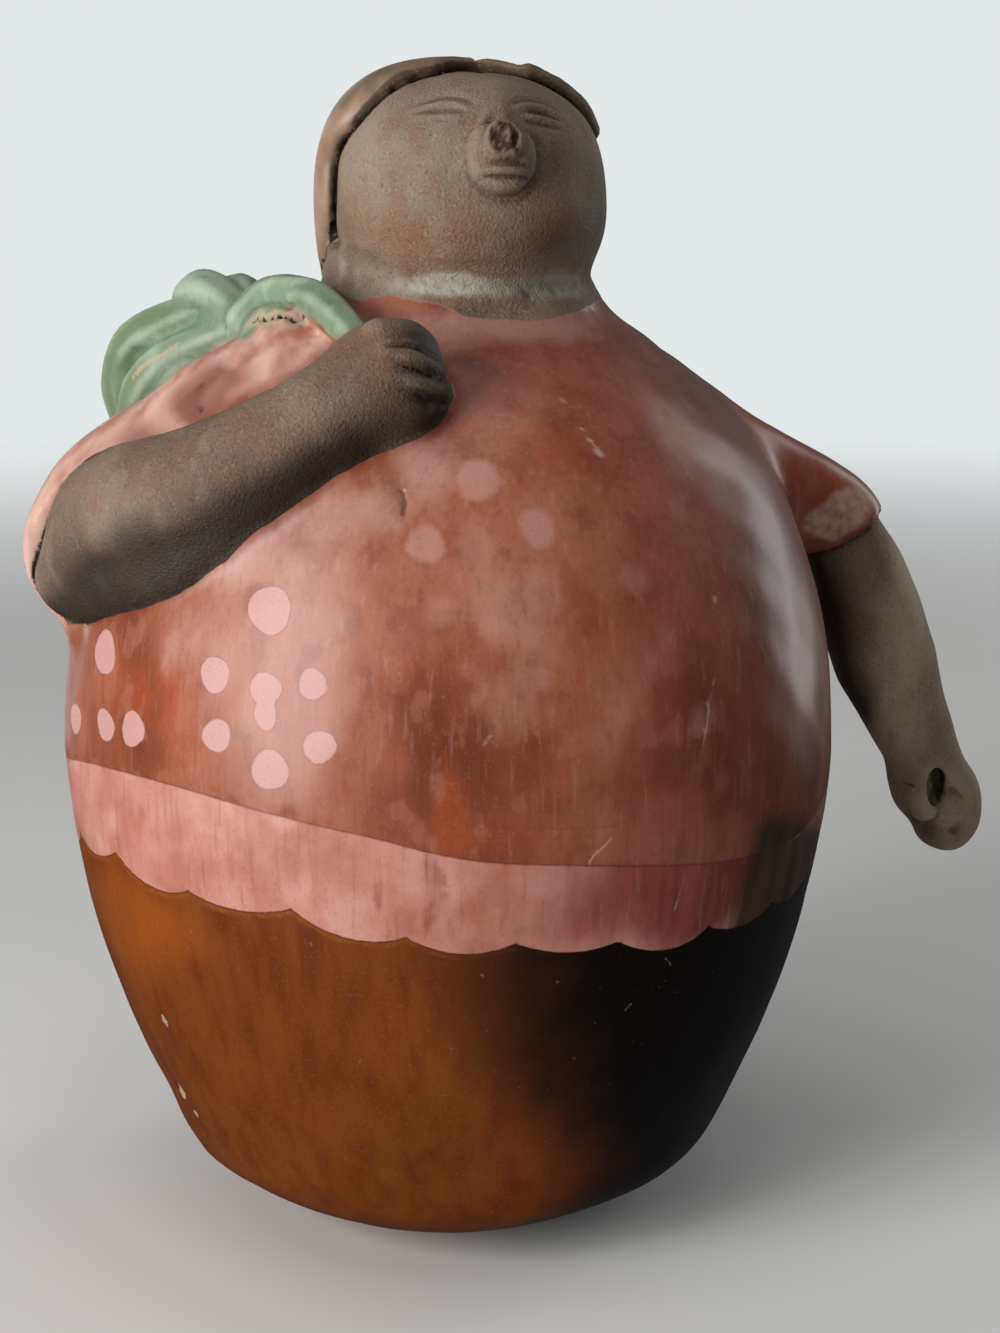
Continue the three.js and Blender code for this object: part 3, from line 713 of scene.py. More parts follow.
def noise(points, size, seed=0):
    """Smooth unevenness from -1 to 1: a sum of sine waves, each about `size` long, in set directions."""
    total = np.zeros(len(points))
    for k in range(1, 7):
        turn, rise = 2.4 * (k + 5 * seed), math.sin(1.7 * k + seed)
        way = np.array([math.cos(turn), math.sin(turn), rise])
        way *= 2 * math.pi / (size * (0.7 + 0.12 * k)) / np.linalg.norm(way)
        total += np.sin(points @ way + 1.9 * k * (seed + 1))
    return total / 3.2


def stroke(points, line, width, taper=0.0):
    """exp(-(d / width)^2), with d the distance to a line of points, and weaker towards tapered ends."""
    reach = 3 * width
    near = np.all((points > line.min(0) - reach) & (points < line.max(0) + reach), axis=1)
    p = points[near]
    least, place = np.full(len(p), np.inf), np.zeros(len(p))
    for i, (start, step) in enumerate(zip(line[:-1], np.diff(line, axis=0))):
        t = np.clip((p - start) @ step / (step @ step), 0, 1)
        off = p - start - t[:, None] * step
        gap = np.einsum("ij,ij->i", off, off)
        place = np.where(gap < least, (i + t) / (len(line) - 1), place)
        least = np.minimum(least, gap)
    out = np.zeros(len(points))
    out[near] = np.exp(-least / width**2) * (1 - taper * np.abs(2 * place - 1) ** 3)
    return out


def skin_line(places):
    """The smooth line through the places, laid on the skin: each point moves by -F grad F / |grad F|^2."""
    line = smooth_path(places, LINE_STEPS)
    for _ in range(5):
        here = figure_distance(line, part_distances(line), 0)
        slope = np.stack([figure_distance(line + way, part_distances(line + way), 0) - here
                          for way in 0.1 * np.eye(3)], axis=1) / 0.1
        line = line - here[:, None] * slope / np.maximum((slope**2).sum(axis=1, keepdims=True), 0.2)
    return line


def stain(points, spots):
    """A soft patch: the sum over the spots of strength exp(-|(p - centre) / reach|^2)."""
    total = np.zeros(len(points))
    for strength, centre, reach in spots:
        away = (points - np.array(centre)) / np.array(reach)
        total += strength * np.exp(-np.einsum("ij,ij->i", away, away))
    return total


def crease(a, b, width):
    """1 on the line where two masses meet, falling as exp(-(d / width)^2) with the distance from it."""
    return np.exp(-(a**2 + b**2) / width**2)


def face_plane(points):
    """A point's place across and up the face's own plane, and how far in front of it the point is."""
    offset = points - np.array(FACE_MIDDLE)
    up = np.array([0, math.sin(FACE_TILT), math.cos(FACE_TILT)])
    out = np.array([0, -math.cos(FACE_TILT), math.sin(FACE_TILT)])
    return np.stack([offset[:, 0], offset @ up], axis=1), offset @ out


def nose_scar(place):
    """1 on the broken nose's scar, easing to 0 at its edge."""
    across, up, wide, tall = NOSE_SCAR
    return smoothstep(-np.hypot((place[:, 0] - across) / wide, (place[:, 1] - up) / tall), -1.15, -0.7)


def face_relief(points):
    """How deep the face is cut: strokes, two hollows for the eyes and a rough scar for the nose."""
    cut = np.zeros(len(points))
    plane, out = face_plane(points)
    front = (out > -22) & (np.abs(plane[:, 0]) < 25) & (np.abs(plane[:, 1]) < 22)
    place, p = plane[front], points[front]
    depth = np.zeros(len(p))
    for deep, width, places in FACE_STROKES:
        depth += deep * stroke(place, smooth_path(places, LINE_STEPS), width, 0.8)
    for across, up in EYE_HOLLOWS:
        depth += 0.6 * np.exp(-(((place[:, 0] - across) / 8) ** 2) - ((place[:, 1] - up) / 4) ** 2)
    depth += nose_scar(place) * (0.3 + 0.2 * noise(p, 2.6, 3) + 0.1 * noise(p, 1.3, 4))
    for deep, across, up, wide in NOSE_PITS:
        depth += deep * np.exp(-((place - np.array([across, up])) ** 2).sum(axis=1) / wide**2)
    cut[front] = depth
    return cut


def turn_of(points):
    """Degrees round the body from straight ahead towards her left."""
    return np.degrees(np.arctan2(points[:, 0], -points[:, 1]))


def turn_gap(a, b):
    """The difference between two turns, from -180 to 180."""
    return (a - b + 180) % 360 - 180


def oval_field(points, ovals):
    """Depth in mm inside the nearest of a list of hand-painted ovals on the body.

    An oval's size is |((turn gap) r / half width, (z - height) / half height)|, divided by a radius
    that wanders by a few per cent round it.
    """
    turn, z = turn_of(points), points[:, 2]
    arc = np.radians(1) * np.hypot(points[:, 0], points[:, 1])
    best = np.full(len(points), -9.0)
    for k, (at, height, wide, tall) in enumerate(ovals):
        across, up = turn_gap(turn, at) * arc / wide, (z - height) / tall
        a = np.arctan2(up, across)
        wander = 1 + 0.06 * np.cos(2 * a + k) + 0.05 * np.cos(3 * a + 2.3 * k)
        best = np.maximum(best, (1 - np.hypot(across, up) / wander) * min(wide, tall))
    return best


def blouse_dots():
    """Two clusters on her right front, and the first repeated round her sides and back, higher or lower."""
    dots = [(-39.3 + a, 130.5 + z, w, h) for a, z, w, h in CLUSTER]
    dots += [(-70.6 + a, 118.3 + z, w, h) for a, z, w, h in SIDE_CLUSTER]
    for turn, height in ((-108, 141), (-146, 128), (172, 146), (132, 130), (92, 124)):
        dots += [(turn + a, height + z, w, h) for a, z, w, h in CLUSTER]
    return dots


def back_cusps():
    """The scallops' cusps round the back: even steps whose height follows the hem's rise and fall."""
    turn = np.linspace(FRONT_CUSPS[-1][0], FRONT_CUSPS[0][0] + 360, 16)
    z = 85.5 + 5.5 * np.cos(2 * np.radians(turn + 57))
    z[[0, -1]] = FRONT_CUSPS[-1][1], FRONT_CUSPS[0][1]
    return np.stack([turn, z], axis=1)


HEM_LINE = smooth_path(HEM, CURVE_STEPS)
CUSPS = np.vstack([FRONT_CUSPS, back_cusps()[1:]])


def hem_edges(points, sizes):
    """Heights in mm above the hem line and above the scalloped edge of the band.

    Between two cusps the edge hangs below the straight line by drop |sin(pi t)|^0.7.
    """
    z, turn = points[:, 2], turn_of(points)
    hem = z - np.interp(turn, *HEM_LINE.T)
    turn = np.where(turn < CUSPS[0, 0], turn + 360, turn)
    step = np.clip(np.searchsorted(CUSPS[:, 0], turn) - 1, 0, len(CUSPS) - 2)
    t = (turn - CUSPS[step, 0]) / (CUSPS[step + 1, 0] - CUSPS[step, 0])
    drop = sizes.scallop_drop / MM * (1 + 0.25 * np.sin(2.3 * step)) * np.abs(np.sin(math.pi * t)) ** 0.7
    edge = CUSPS[step, 1] + t * (CUSPS[step + 1, 1] - CUSPS[step, 1]) - drop
    return hem, z - edge


def chip_field(points):
    """Depth in mm inside the nearest of the body's chips, and how deep the chips are cut."""
    inside = oval_field(points, [(t, z, w, h) for t, z, w, h, _ in CHIPS])
    deep = np.zeros(len(points))
    for t, z, w, h, depth in CHIPS:
        here = oval_field(points, [(t, z, w, h)])
        deep = np.maximum(deep, depth * smoothstep(here, -0.2, 0.5))
    return inside, deep


def body_lines(rows):
    """Rows of (strength, half width, places by turn and height), with the places made a line on the jar."""
    return [(strong, width, smooth_path(on_body(places), LINE_STEPS)) for strong, width, places in rows]


GROOVE_LINES = [(deep, width, skin_line(places)) for deep, width, places in GROOVES]
FINGER_LINES = [line for _, _, line in GROOVE_LINES[:len(FINGER_GROOVES)]]
HAIR_END_LINE = GROOVE_LINES[len(FINGER_GROOVES)][2]
PARTING_LINE, CRUMBLE_LINE, BEIGE = (skin_line(places) for places in (PARTING, CRUMBLE, BEIGE_LINE))
CRUMBLE_LINES = [skin_line(places) for places in CRUMBLE_CRACKS]
SCRATCH_LINES, GOUGE_LINES, SMEAR_LINES = (body_lines(rows) for rows in (SCRATCHES, GOUGES, SMEARS))


def below_forearm(points):
    """How far below her right forearm's middle line the points lie, as a share of its radius there.

    Down is -Z made square to the line.
    """
    rod = ROD_FRAMES["forearm"]
    middle, ahead, radius = (rod[k][::3] for k in ("middle", "ahead", "radius"))
    down = ahead * ahead[:, 2:] - np.array([0, 0, 1.0])
    down /= np.linalg.norm(down, axis=1, keepdims=True)
    gap = points[:, None] - middle
    nearest = np.einsum("ijk,ijk->ij", gap, gap).argmin(axis=1)
    away = gap[np.arange(len(points)), nearest]
    return np.einsum("ij,ij->i", away, down[nearest]) / radius[nearest]


def fire_clouds_and_shade(points):
    """How far inside the skirt's fire cloud and the olive cloud above it points lie, in fades.

    Each starts at a turn that changes with the height. The olive one also has an upper edge, which
    falls towards her back. The smaller clouds on her back are joined to them. The skirt's cloud also
    paints the shade on her lower right and along the bottom.
    """
    turn, z = turn_of(points), points[:, 2]
    skirt = np.minimum(turn - np.interp(z, *zip(*CLOUD_AND_SHADE_EDGE)), CLOUD_AND_SHADE_END - turn) / CLOUD_AND_SHADE_FADE
    skirt = np.maximum(skirt, 3 * stain(points, BACK_SMOKE) - 1.5)
    left = turn - np.interp(z, *zip(*OLIVE_EDGE))
    top = np.interp(turn, *zip(*OLIVE_TOP)) - z
    olive = np.minimum.reduce([left / OLIVE_FADE, top / OLIVE_FADE, (OLIVE_END - turn) / OLIVE_END_FADE])
    return skirt, np.maximum(olive, 3 * stain(points, BACK_OLIVE) - 1.5)


def cracks(points, d):
    """1 in the cracks along the hair, her right elbow and her left cuff, falling to 0 beside them."""
    hair = crease(np.maximum(d["hair"], 0), d["head"], 0.55)
    elbow = smoothstep(points[:, 0], -50, -62) * crease(d["right_sleeve"], d["right_arm"], 0.55)
    return np.maximum(hair, elbow), crease(d["left_sleeve"], d["left_hand"], 0.45)


def relief(points, d, sizes):
    """How deep the skin is cut in millimetres; negative where it is raised."""
    deep, shallow = cracks(points, d)
    cut = sizes.crack_depth / MM * (deep * (1 + 0.25 * noise(points, 4, 11)) + 0.35 * shallow)
    cut += face_relief(points)
    for deep, width, line in GROOVE_LINES:
        cut += deep * stroke(points, line, width, 0.6)
    slab = (d["hair"] < 1) * np.exp(-((d["front"] / 1.4) ** 2)) * smoothstep(points[:, 2], 234, 239)
    cut += slab * (0.16 * noise(points, 3.4, 6) + 0.12 * noise(points, 1.6, 7))
    crumble = stroke(points, CRUMBLE_LINE, 2.2)
    cut += crumble * (0.5 + 0.35 * noise(points, 4, 2) + 0.3 * noise(points, 1.8, 5))
    for line in CRUMBLE_LINES:
        cut += 1.3 * stroke(points, line, 0.6, 0.5)
    hem, scallop = hem_edges(points, sizes)
    body = np.exp(-((d["body"] / 1.5) ** 2))
    cut += body * sizes.line_depth / MM * (np.exp(-((hem / 0.4) ** 2)) + np.exp(-((scallop / 0.4) ** 2)))
    for strength, width, line in SCRATCH_LINES:
        cut += 0.12 * strength * stroke(points, line, width)
    for strength, width, line in GOUGE_LINES:
        cut += 0.45 * strength * stroke(points, line, width)
    chips, deep = chip_field(points)
    cut += body * deep * (1 + 0.3 * noise(points, 1.7, 8))
    neck = np.exp(-(((points[:, 2] - NECK_RIDGES) / 4.5) ** 2)) * smoothstep(d["body"], 2.5, 0)
    return cut + neck * (0.16 * noise(points, 6, 9) + 0.08 * noise(points, 2, 10))


# Painted and bare regions, as fields on the skin's points


def paint_fields(points, d, sizes):
    """Signed distances in mm, positive inside a region, and soft patches from 0 to about 1."""
    z, turn = points[:, 2], turn_of(points)
    hem, scallop = hem_edges(points, sizes)
    blouse = np.minimum.reduce([d["body"], d["right_sleeve"], d["left_sleeve"]])
    bare = np.minimum.reduce([d["face"], d["right_arm"], d["left_hand"]])
    neckline = z - np.interp(turn, *zip(*NECKLINE))
    neck = np.minimum.reduce([neckline, d["bunch"] - d["body"], d["hair"] - d["body"]])
    edge = z - np.interp(points[:, 0], *zip(*GREEN_EDGE))
    back = 40 * smoothstep(points[:, 1], 3, 14)
    front_face = np.minimum(d["front"] - d["cap"] - 0.6, 2.2 - np.abs(d["front"]))
    below = np.where(d["right_arm"] < 2, below_forearm(points), -9) + 0.12 * noise(points, 16, 12)
    # Painted shade on the underside of her right forearm, added to the soot patches below.
    underside_shade = smoothstep(below, -0.55, 0.95) * smoothstep(points[:, 0], -18, -38)
    deep, shallow = cracks(points, d)
    # Painted shadow on the sleeve just beside the edge of her right elbow.
    elbow_gap_shade = smoothstep(d["right_arm"], 1.7, 0.7) * smoothstep(points[:, 0], -62, -70)
    skirt_cloud_and_shade, olive_cloud = fire_clouds_and_shade(points)
    plane, out = face_plane(points)
    # Painted shade in the cracks, the gap at her right elbow, the crumbled cracks, the shade spots, the
    # hollow of her left hand, the parting and the grooves of the fist and the hair's end.
    shaded_places = [
        1.1 * deep,
        0.6 * shallow,
        0.85 * elbow_gap_shade * (d["right_sleeve"] < d["right_arm"]),
        np.maximum.reduce([stroke(points, line, 0.8) for line in CRUMBLE_LINES])
        * np.clip(0.75 + 0.7 * noise(points, 1.6, 3), 0.2, 1),
        stain(points, SHADE_SPOTS),
        1.2 * smoothstep(-d["hand_hollow"], -0.9, 0.6) * (points[:, 1] > HAND_HOLLOW[0][1]),
        0.6 * stroke(points, PARTING_LINE, 0.7),
    ]
    shaded_places += [0.65 * stroke(points, line, 0.5) for line in FINGER_LINES]
    shaded_places.append(1.2 * stroke(points, HAIR_END_LINE, 0.6))
    joints = np.sort(np.stack([d[k] for k in ("body", "face", "right_sleeve", "left_sleeve", "bunch",
                                              "right_arm", "left_hand", "hair")]), axis=0)
    bunch = np.sort(np.stack([d[k] for k in PLANTAINS + ["heart", "crown"]]), axis=0)
    fields = {
        "hem": hem,
        "scallop": scallop,
        "scallop_rim": scallop + 0.9,
        "raw_clay": np.maximum(np.minimum.reduce([blouse, d["hair"], d["bunch"]]) - bare, neck),
        "hair": np.minimum.reduce([blouse, bare, d["bunch"]]) - d["hair"],
        "hair_edge": np.minimum(front_face, 0.6 * (z - 236)),
        "green": np.minimum(np.minimum.reduce([blouse, bare, d["hair"]]) - d["bunch"] + 1.5, edge + back),
        "dots": oval_field(points, blouse_dots()),
        "faded_dots": oval_field(points, FADED_DOTS),
        "faint_dots": oval_field(points, FAINT_DOTS),
        "red_oval": oval_field(points, [RED_OVAL]),
        "scar": nose_scar(plane) * (out > 2),
        # The fire cloud on the skirt, with painted shade on her lower right and along the bottom.
        "smoke": skirt_cloud_and_shade,
        "olive": olive_cloud,
        # Painted shade over her left side, which is turned from the light, except on the left sleeve.
        "dusk": smoothstep(points[:, 0], 18, 66) * smoothstep(d["left_sleeve"], 0.5, 6),
        "patina": np.maximum(smoothstep(points[:, 0], 4, 9), 0.4 * smoothstep(z, 240, 248)),
        "smears": np.maximum.reduce([s * stroke(points, line, w) for s, w, line in SMEAR_LINES]),
        "chips": chip_field(points)[0],
        # Painted shade in the cracks and gaps.
        "crack": np.maximum.reduce(shaded_places),
        "crumble": stroke(points, CRUMBLE_LINE, 3.0),
        "beige_line": stroke(points, BEIGE, 0.8),
        "scratches": np.maximum.reduce([s * stroke(points, line, w) for s, w, line in SCRATCH_LINES]),
        "gouges": np.maximum.reduce([s * stroke(points, line, w) for s, w, line in GOUGE_LINES]),
        # Painted shade where two masses of clay meet and between the plantains.
        "crevice": np.maximum(np.exp(-np.maximum(joints[1], 0) / 2.2),
                              np.exp(-np.maximum(bunch[1], 0) / 1.2) * (d["bunch"] < 1)),
    }
    fields["dots"] = np.minimum(fields["dots"], 3 - d["body"])
    fields |= {name: stain(points, spots) for name, spots in STAINS.items()}
    # The soot patches also take the painted shade of the forearm's underside.
    fields["char"] += 1.35 * underside_shade
    return fields


# Making the mesh


def read_points(mesh):
    """A mesh's points in millimetres."""
    flat = np.empty(3 * len(mesh.vertices), np.float32)
    mesh.vertices.foreach_get("co", flat)
    return flat.reshape(-1, 3).astype(float) / MM


def write_points(mesh, points):
    """Puts points in millimetres back into a mesh."""
    mesh.vertices.foreach_set("co", (points * MM).astype(np.float32).ravel())
    mesh.update()


def point_normals(mesh):
    """The mesh's smooth normals."""
    normals = np.empty(3 * len(mesh.vertices), np.float32)
    mesh.vertex_normals.foreach_get("vector", normals)
    return normals.reshape(-1, 3)


def settle(mesh, unevenness, rounds, relax=0.0):
    """Moves a mesh's points along their normals onto the clay's skin, first evened out if asked.

    Evening out moves a point towards the mean of its neighbours. A move is p - F(p) n, and no longer
    than 1.5 mm.
    """
    edges = np.empty(2 * len(mesh.edges), np.int32)
    mesh.edges.foreach_get("vertices", edges)
    a, b = edges.reshape(-1, 2).T
    both, other = np.concatenate([a, b]), np.concatenate([b, a])
    count = np.bincount(both, minlength=len(mesh.vertices))[:, None]
    for _ in range(rounds):
        points = read_points(mesh)
        if relax:
            mean = np.stack([np.bincount(both, points[other, i], len(points)) for i in range(3)], axis=1)
            points += relax * (mean / count - points)
            write_points(mesh, points)
        step = figure_distance(points, part_distances(points), unevenness)
        points -= np.clip(step, -1.5, 1.5)[:, None] * point_normals(mesh)
        points[:, 2] = np.maximum(points[:, 2], 0)
        write_points(mesh, points)


def hollows(mesh, rounds=3):
    """How hollow the skin is at each point, from -1 on a sharp ridge to 1 in a groove.

    It is twice the neighbours' mean height over the point, divided by their mean squared distance,
    and evened out over a few rounds.
    """
    edges = np.empty(2 * len(mesh.edges), np.int32)
    mesh.edges.foreach_get("vertices", edges)
    a, b = edges.reshape(-1, 2).T
    both, other = np.concatenate([a, b]), np.concatenate([b, a])
    points, normals = read_points(mesh), point_normals(mesh)
    count = np.bincount(both, minlength=len(points))
    gap = points[other] - points[both]
    rise = np.bincount(both, np.einsum("ij,ij->i", gap, normals[both]), len(points))
    away = np.bincount(both, np.einsum("ij,ij->i", gap, gap), len(points))
    bend = np.clip(2 * rise / away, -1, 1)
    for _ in range(rounds):
        bend = 0.5 * bend + 0.5 * np.bincount(both, bend[other], len(points)) / count
    return bend


def detail_level(points, d, sizes):
    """How many times the squares round a point are halved.

    That is from 0 on the plain body to 3 on the eyes, the mouth and the middle of the scratches.
    """
    level = np.zeros(len(points), int)
    hem, scallop = hem_edges(points, sizes)
    line = np.minimum(np.abs(hem), np.abs(scallop)) + 4 * np.abs(d["body"])
    dots = np.abs(oval_field(points, blouse_dots() + FADED_DOTS + [RED_OVAL]))
    chips = chip_field(points)[0]
    scratches = np.maximum.reduce([stroke(points, line, 1) for _, _, line in SCRATCH_LINES + GOUGE_LINES])
    limbs = np.minimum.reduce([d["face"], d["hair"], d["right_arm"], d["left_hand"], d["bunch"],
                               d["right_sleeve"], d["left_sleeve"]])
    level[(limbs < 1.5) | (line < 3) | (dots < 1.6) | (chips > -1.5) | (scratches > 0.1)] = 1
    plane, out = face_plane(points)
    x, y = np.abs(plane[:, 0]), plane[:, 1]
    face = (out > -12) & (x < 19) & (y > -9) & (y < 18)
    crack = np.minimum(np.hypot(d["hair"], d["head"]), np.hypot(d["right_sleeve"], d["right_arm"]))
    cuff = np.hypot(d["left_sleeve"], d["left_hand"])
    knuckles = np.minimum.reduce([d[name] for name in KNUCKLES])
    hand = np.minimum.reduce([d["palm"], d["fingers"], d["thumb"]])
    crumble = stroke(points, CRUMBLE_LINE, 4)
    parting = stroke(points, PARTING_LINE, 1.6)
    neck = (np.abs(points[:, 2] - NECK_RIDGES) < 5) & (d["body"] < 1) & (points[:, 1] < -8)
    level[face | (crack < 2) | (cuff < 1.4) | (knuckles < 1) | (hand < 1) | (crumble > 0.3) | (line < 0.9)
          | (scratches > 0.3) | (chips > -0.6) | (parting > 0.4) | neck] = 2
    eyes = (out > -8) & (x > 3.2) & (x < 17.5) & (y > 7.4) & (y < 16)
    mouth = (out > -4) & (np.hypot(plane[:, 0] * 1.05, y) < 8.4)
    level[eyes | mouth | (scratches > 0.75)] = 3
    return level


def halve(mesh, wanted):
    """Halves every edge whose two ends are wanted, so that a square of such edges becomes four."""
    made = bmesh.new()
    made.from_mesh(mesh)
    edges = [edge for edge in made.edges if wanted[edge.verts[0].index] and wanted[edge.verts[1].index]]
    bmesh.ops.subdivide_edges(made, edges=edges, cuts=1, use_grid_fill=True)
    made.to_mesh(mesh)
    made.free()


def clay_mesh(sizes):
    """The whole figure: joined shells, remeshed, settled, refined where it is carved, and then carved."""
    shells = bpy.data.objects.new("shells", shell_mesh(start_shells()))
    bpy.context.collection.objects.link(shells)
    remesh = shells.modifiers.new("join", "REMESH")
    remesh.mode = "VOXEL"
    remesh.voxel_size = sizes.skin_step
    remesh.adaptivity = 0
    graph = bpy.context.evaluated_depsgraph_get()
    mesh = bpy.data.meshes.new_from_object(shells.evaluated_get(graph))
    mesh.name = "figurine_skin"
    bpy.data.objects.remove(shells)
    unevenness = sizes.unevenness / MM
    settle(mesh, unevenness, 4, relax=0.5)
    for level in (1, 2, 3):
        points = read_points(mesh)
        halve(mesh, detail_level(points, part_distances(points), sizes) >= level)
        settle(mesh, unevenness, 2, relax=0.4)
    settle(mesh, unevenness, 1)

    points = read_points(mesh)
    d = part_distances(points)
    fields = paint_fields(points, d, sizes)
    cut = relief(points, d, sizes)
    points -= cut[:, None] * point_normals(mesh)
    points[:, 2] = np.maximum(points[:, 2], 0)
    write_points(mesh, points)
    fields["hollow"] = hollows(mesh)
    for name, values in fields.items():
        mesh.attributes.new(name, "FLOAT", "POINT").data.foreach_set("value", values.astype(np.float32))
    mesh.polygons.foreach_set("use_smooth", np.ones(len(mesh.polygons), bool))
    return mesh


# The clay's material

# Noise textures by name: the size of their marks in millimetres, their detail, and how much longer
# than wide the marks are. The sand grains are really finer than 0.3 mm and are drawn coarser to show.
TEXTURES = {
    "patch": (30, 3, 1.3),
    "cloud": (11, 4, 1),
    "scuff": (6, 6, 1.5),
    "stroke": (5, 3, 7),
    "streak": (1.1, 4, 18),
    "edge": (3, 3, 1),
    "mottle": (2.4, 3, 1),
    "sand": (0.6, 2, 1),
    "speck": (1.1, 1, 1),
}

# Masks by name: the painted field, the texture that breaks its edge and by how much, and the values
# at which it starts and is full. A line is full where its field is 0.
MASKS = {
    "below_hem": ("hem", "edge", 0.5, 0.15, -0.1),
    "above_scallop": ("scallop", "edge", 0.6, -0.1, 0.15),
    "below_scallop": ("scallop", "edge", 0.6, 0.15, -0.1),
    "under_scallop": ("scallop", "edge", 2.6, -1.3, -0.4),
    "raw_clay": ("raw_clay", "edge", 0.7, -0.15, 0.25),
    "hair": ("hair", "edge", 0.4, -0.1, 0.2),
    "hair_edge": ("hair_edge", "edge", 1.4, -0.2, 0.5),
    "green": ("green", "edge", 3.0, -0.6, 1.2),
    "dots": ("dots", "mottle", 0.7, -0.15, 0.2),
    "faded_dots": ("faded_dots", "mottle", 1.2, -0.7, 0.8),
    "faint_dots": ("faint_dots", "edge", 2.4, -1.0, 1.8),
    "red_oval": ("red_oval", "edge", 1.6, -0.5, 1.2),
    "chips": ("chips", "mottle", 1.6, -0.15, 0.2),
    "chip_rims": ("chips", "edge", 1.0, -0.9, -0.1),
    # Painted shade in the cracks and gaps.
    "crack": ("crack", "mottle", 0.5, 0.3, 0.75),
    "crumble": ("crumble", "mottle", 1.6, 0.35, 0.8),
    "beige_line": ("beige_line", "mottle", 0.9, 0.3, 0.8),
    "scratches": ("scratches", "speck", 0.4, 0.25, 0.85),
    "gouges": ("gouges", "speck", 0.5, 0.25, 0.9),
    "smears": ("smears", "streak", 0.9, 0.15, 0.9),
    # Painted shade at the joints between masses.
    "crevice": ("crevice", "edge", 0.4, 0.4, 1.1),
    # Dirt and painted shade in the skin's hollows.
    "hollow_dirt_and_shade": ("hollow", "mottle", 0.08, 0.05, 0.3),
    # Wear and painted highlight on the skin's ridges.
    "ridge_wear_and_highlight": ("hollow", "mottle", 0.12, -0.05, -0.28),
    # The fire cloud with painted shade.
    "smoke": ("smoke", "cloud", 2.4, -0.6, 2.0),
    # The thin fringe of the fire cloud and its painted shade.
    "haze": ("smoke", "stroke", 2.0, -2.6, 0.8),
    "scar": ("scar", "mottle", 0.8, 0.2, 0.8),
    "rubbed": ("rubbed", "scuff", 0.8, 0.2, 1.0),
    "olive": ("olive", "stroke", 1.6, -0.7, 1.0),
    # Painted shade over her left side.
    "dusk": ("dusk", "cloud", 0.4, 0.1, 0.9),
    "crimson": ("crimson", "cloud", 1.0, 0.25, 0.9),
    "cuff": ("cuff", "scuff", 0.9, 0.35, 0.85),
    "dusty": ("dusty", "scuff", 0.8, 0.2, 0.9),
    "mossy": ("mossy", "stroke", 0.7, 0.15, 0.9),
    "patina": ("patina", "mottle", 0.7, 0.2, 0.7),
    "bloom": ("bloom", "scuff", 1.0, 0.2, 1.2),
    "rust": ("rust", "streak", 1.2, 0.2, 1.0),
    "rose": ("rose", "stroke", 0.7, 0.15, 0.7),
    "ember": ("ember", "stroke", 0.7, 0.1, 0.9),
    "blush": ("blush", "cloud", 0.8, 0.2, 0.7),
    "blood": ("blood", "mottle", 1.2, 0.3, 0.9),
    # Painted shade in the valley between the right sleeve and chest.
    "worn": ("worn", "stroke", 1.0, 0.2, 0.9),
    # Soot and painted shade on the bare clay.
    "char": ("char", "cloud", 0.35, 0.1, 1.15),
    "warm": ("warm", "cloud", 0.9, 0.2, 1.0),
    # Pale scuffs, and painted highlight on the neck's upward slope and the muzzle's left flank.
    "ash": ("ash", "scuff", 1.4, 0.3, 1.1),
}
# Masks that a texture makes by itself, as (texture, start, full).
MARKS = {
    "light_sand": ("sand", 0.56, 0.72),
    "dark_sand": ("sand", 0.44, 0.28),
    "pits": ("speck", 0.72, 0.80),
    "dust": ("speck", 0.745, 0.80),
    "dark_streaks": ("streak", 0.54, 0.72),
    "light_streaks": ("streak", 0.44, 0.28),
    "scuffs": ("scuff", 0.53, 0.62),
    "smoky": ("scuff", 0.46, 0.36),
    "dull": ("mottle", 0.45, 0.7),
}
LINES = {"hem_line": ("hem", 0.35), "scallop_line": ("scallop", 0.35), "dot_line": ("dots", 0.3),
         "scallop_rim": ("scallop_rim", 0.5)}

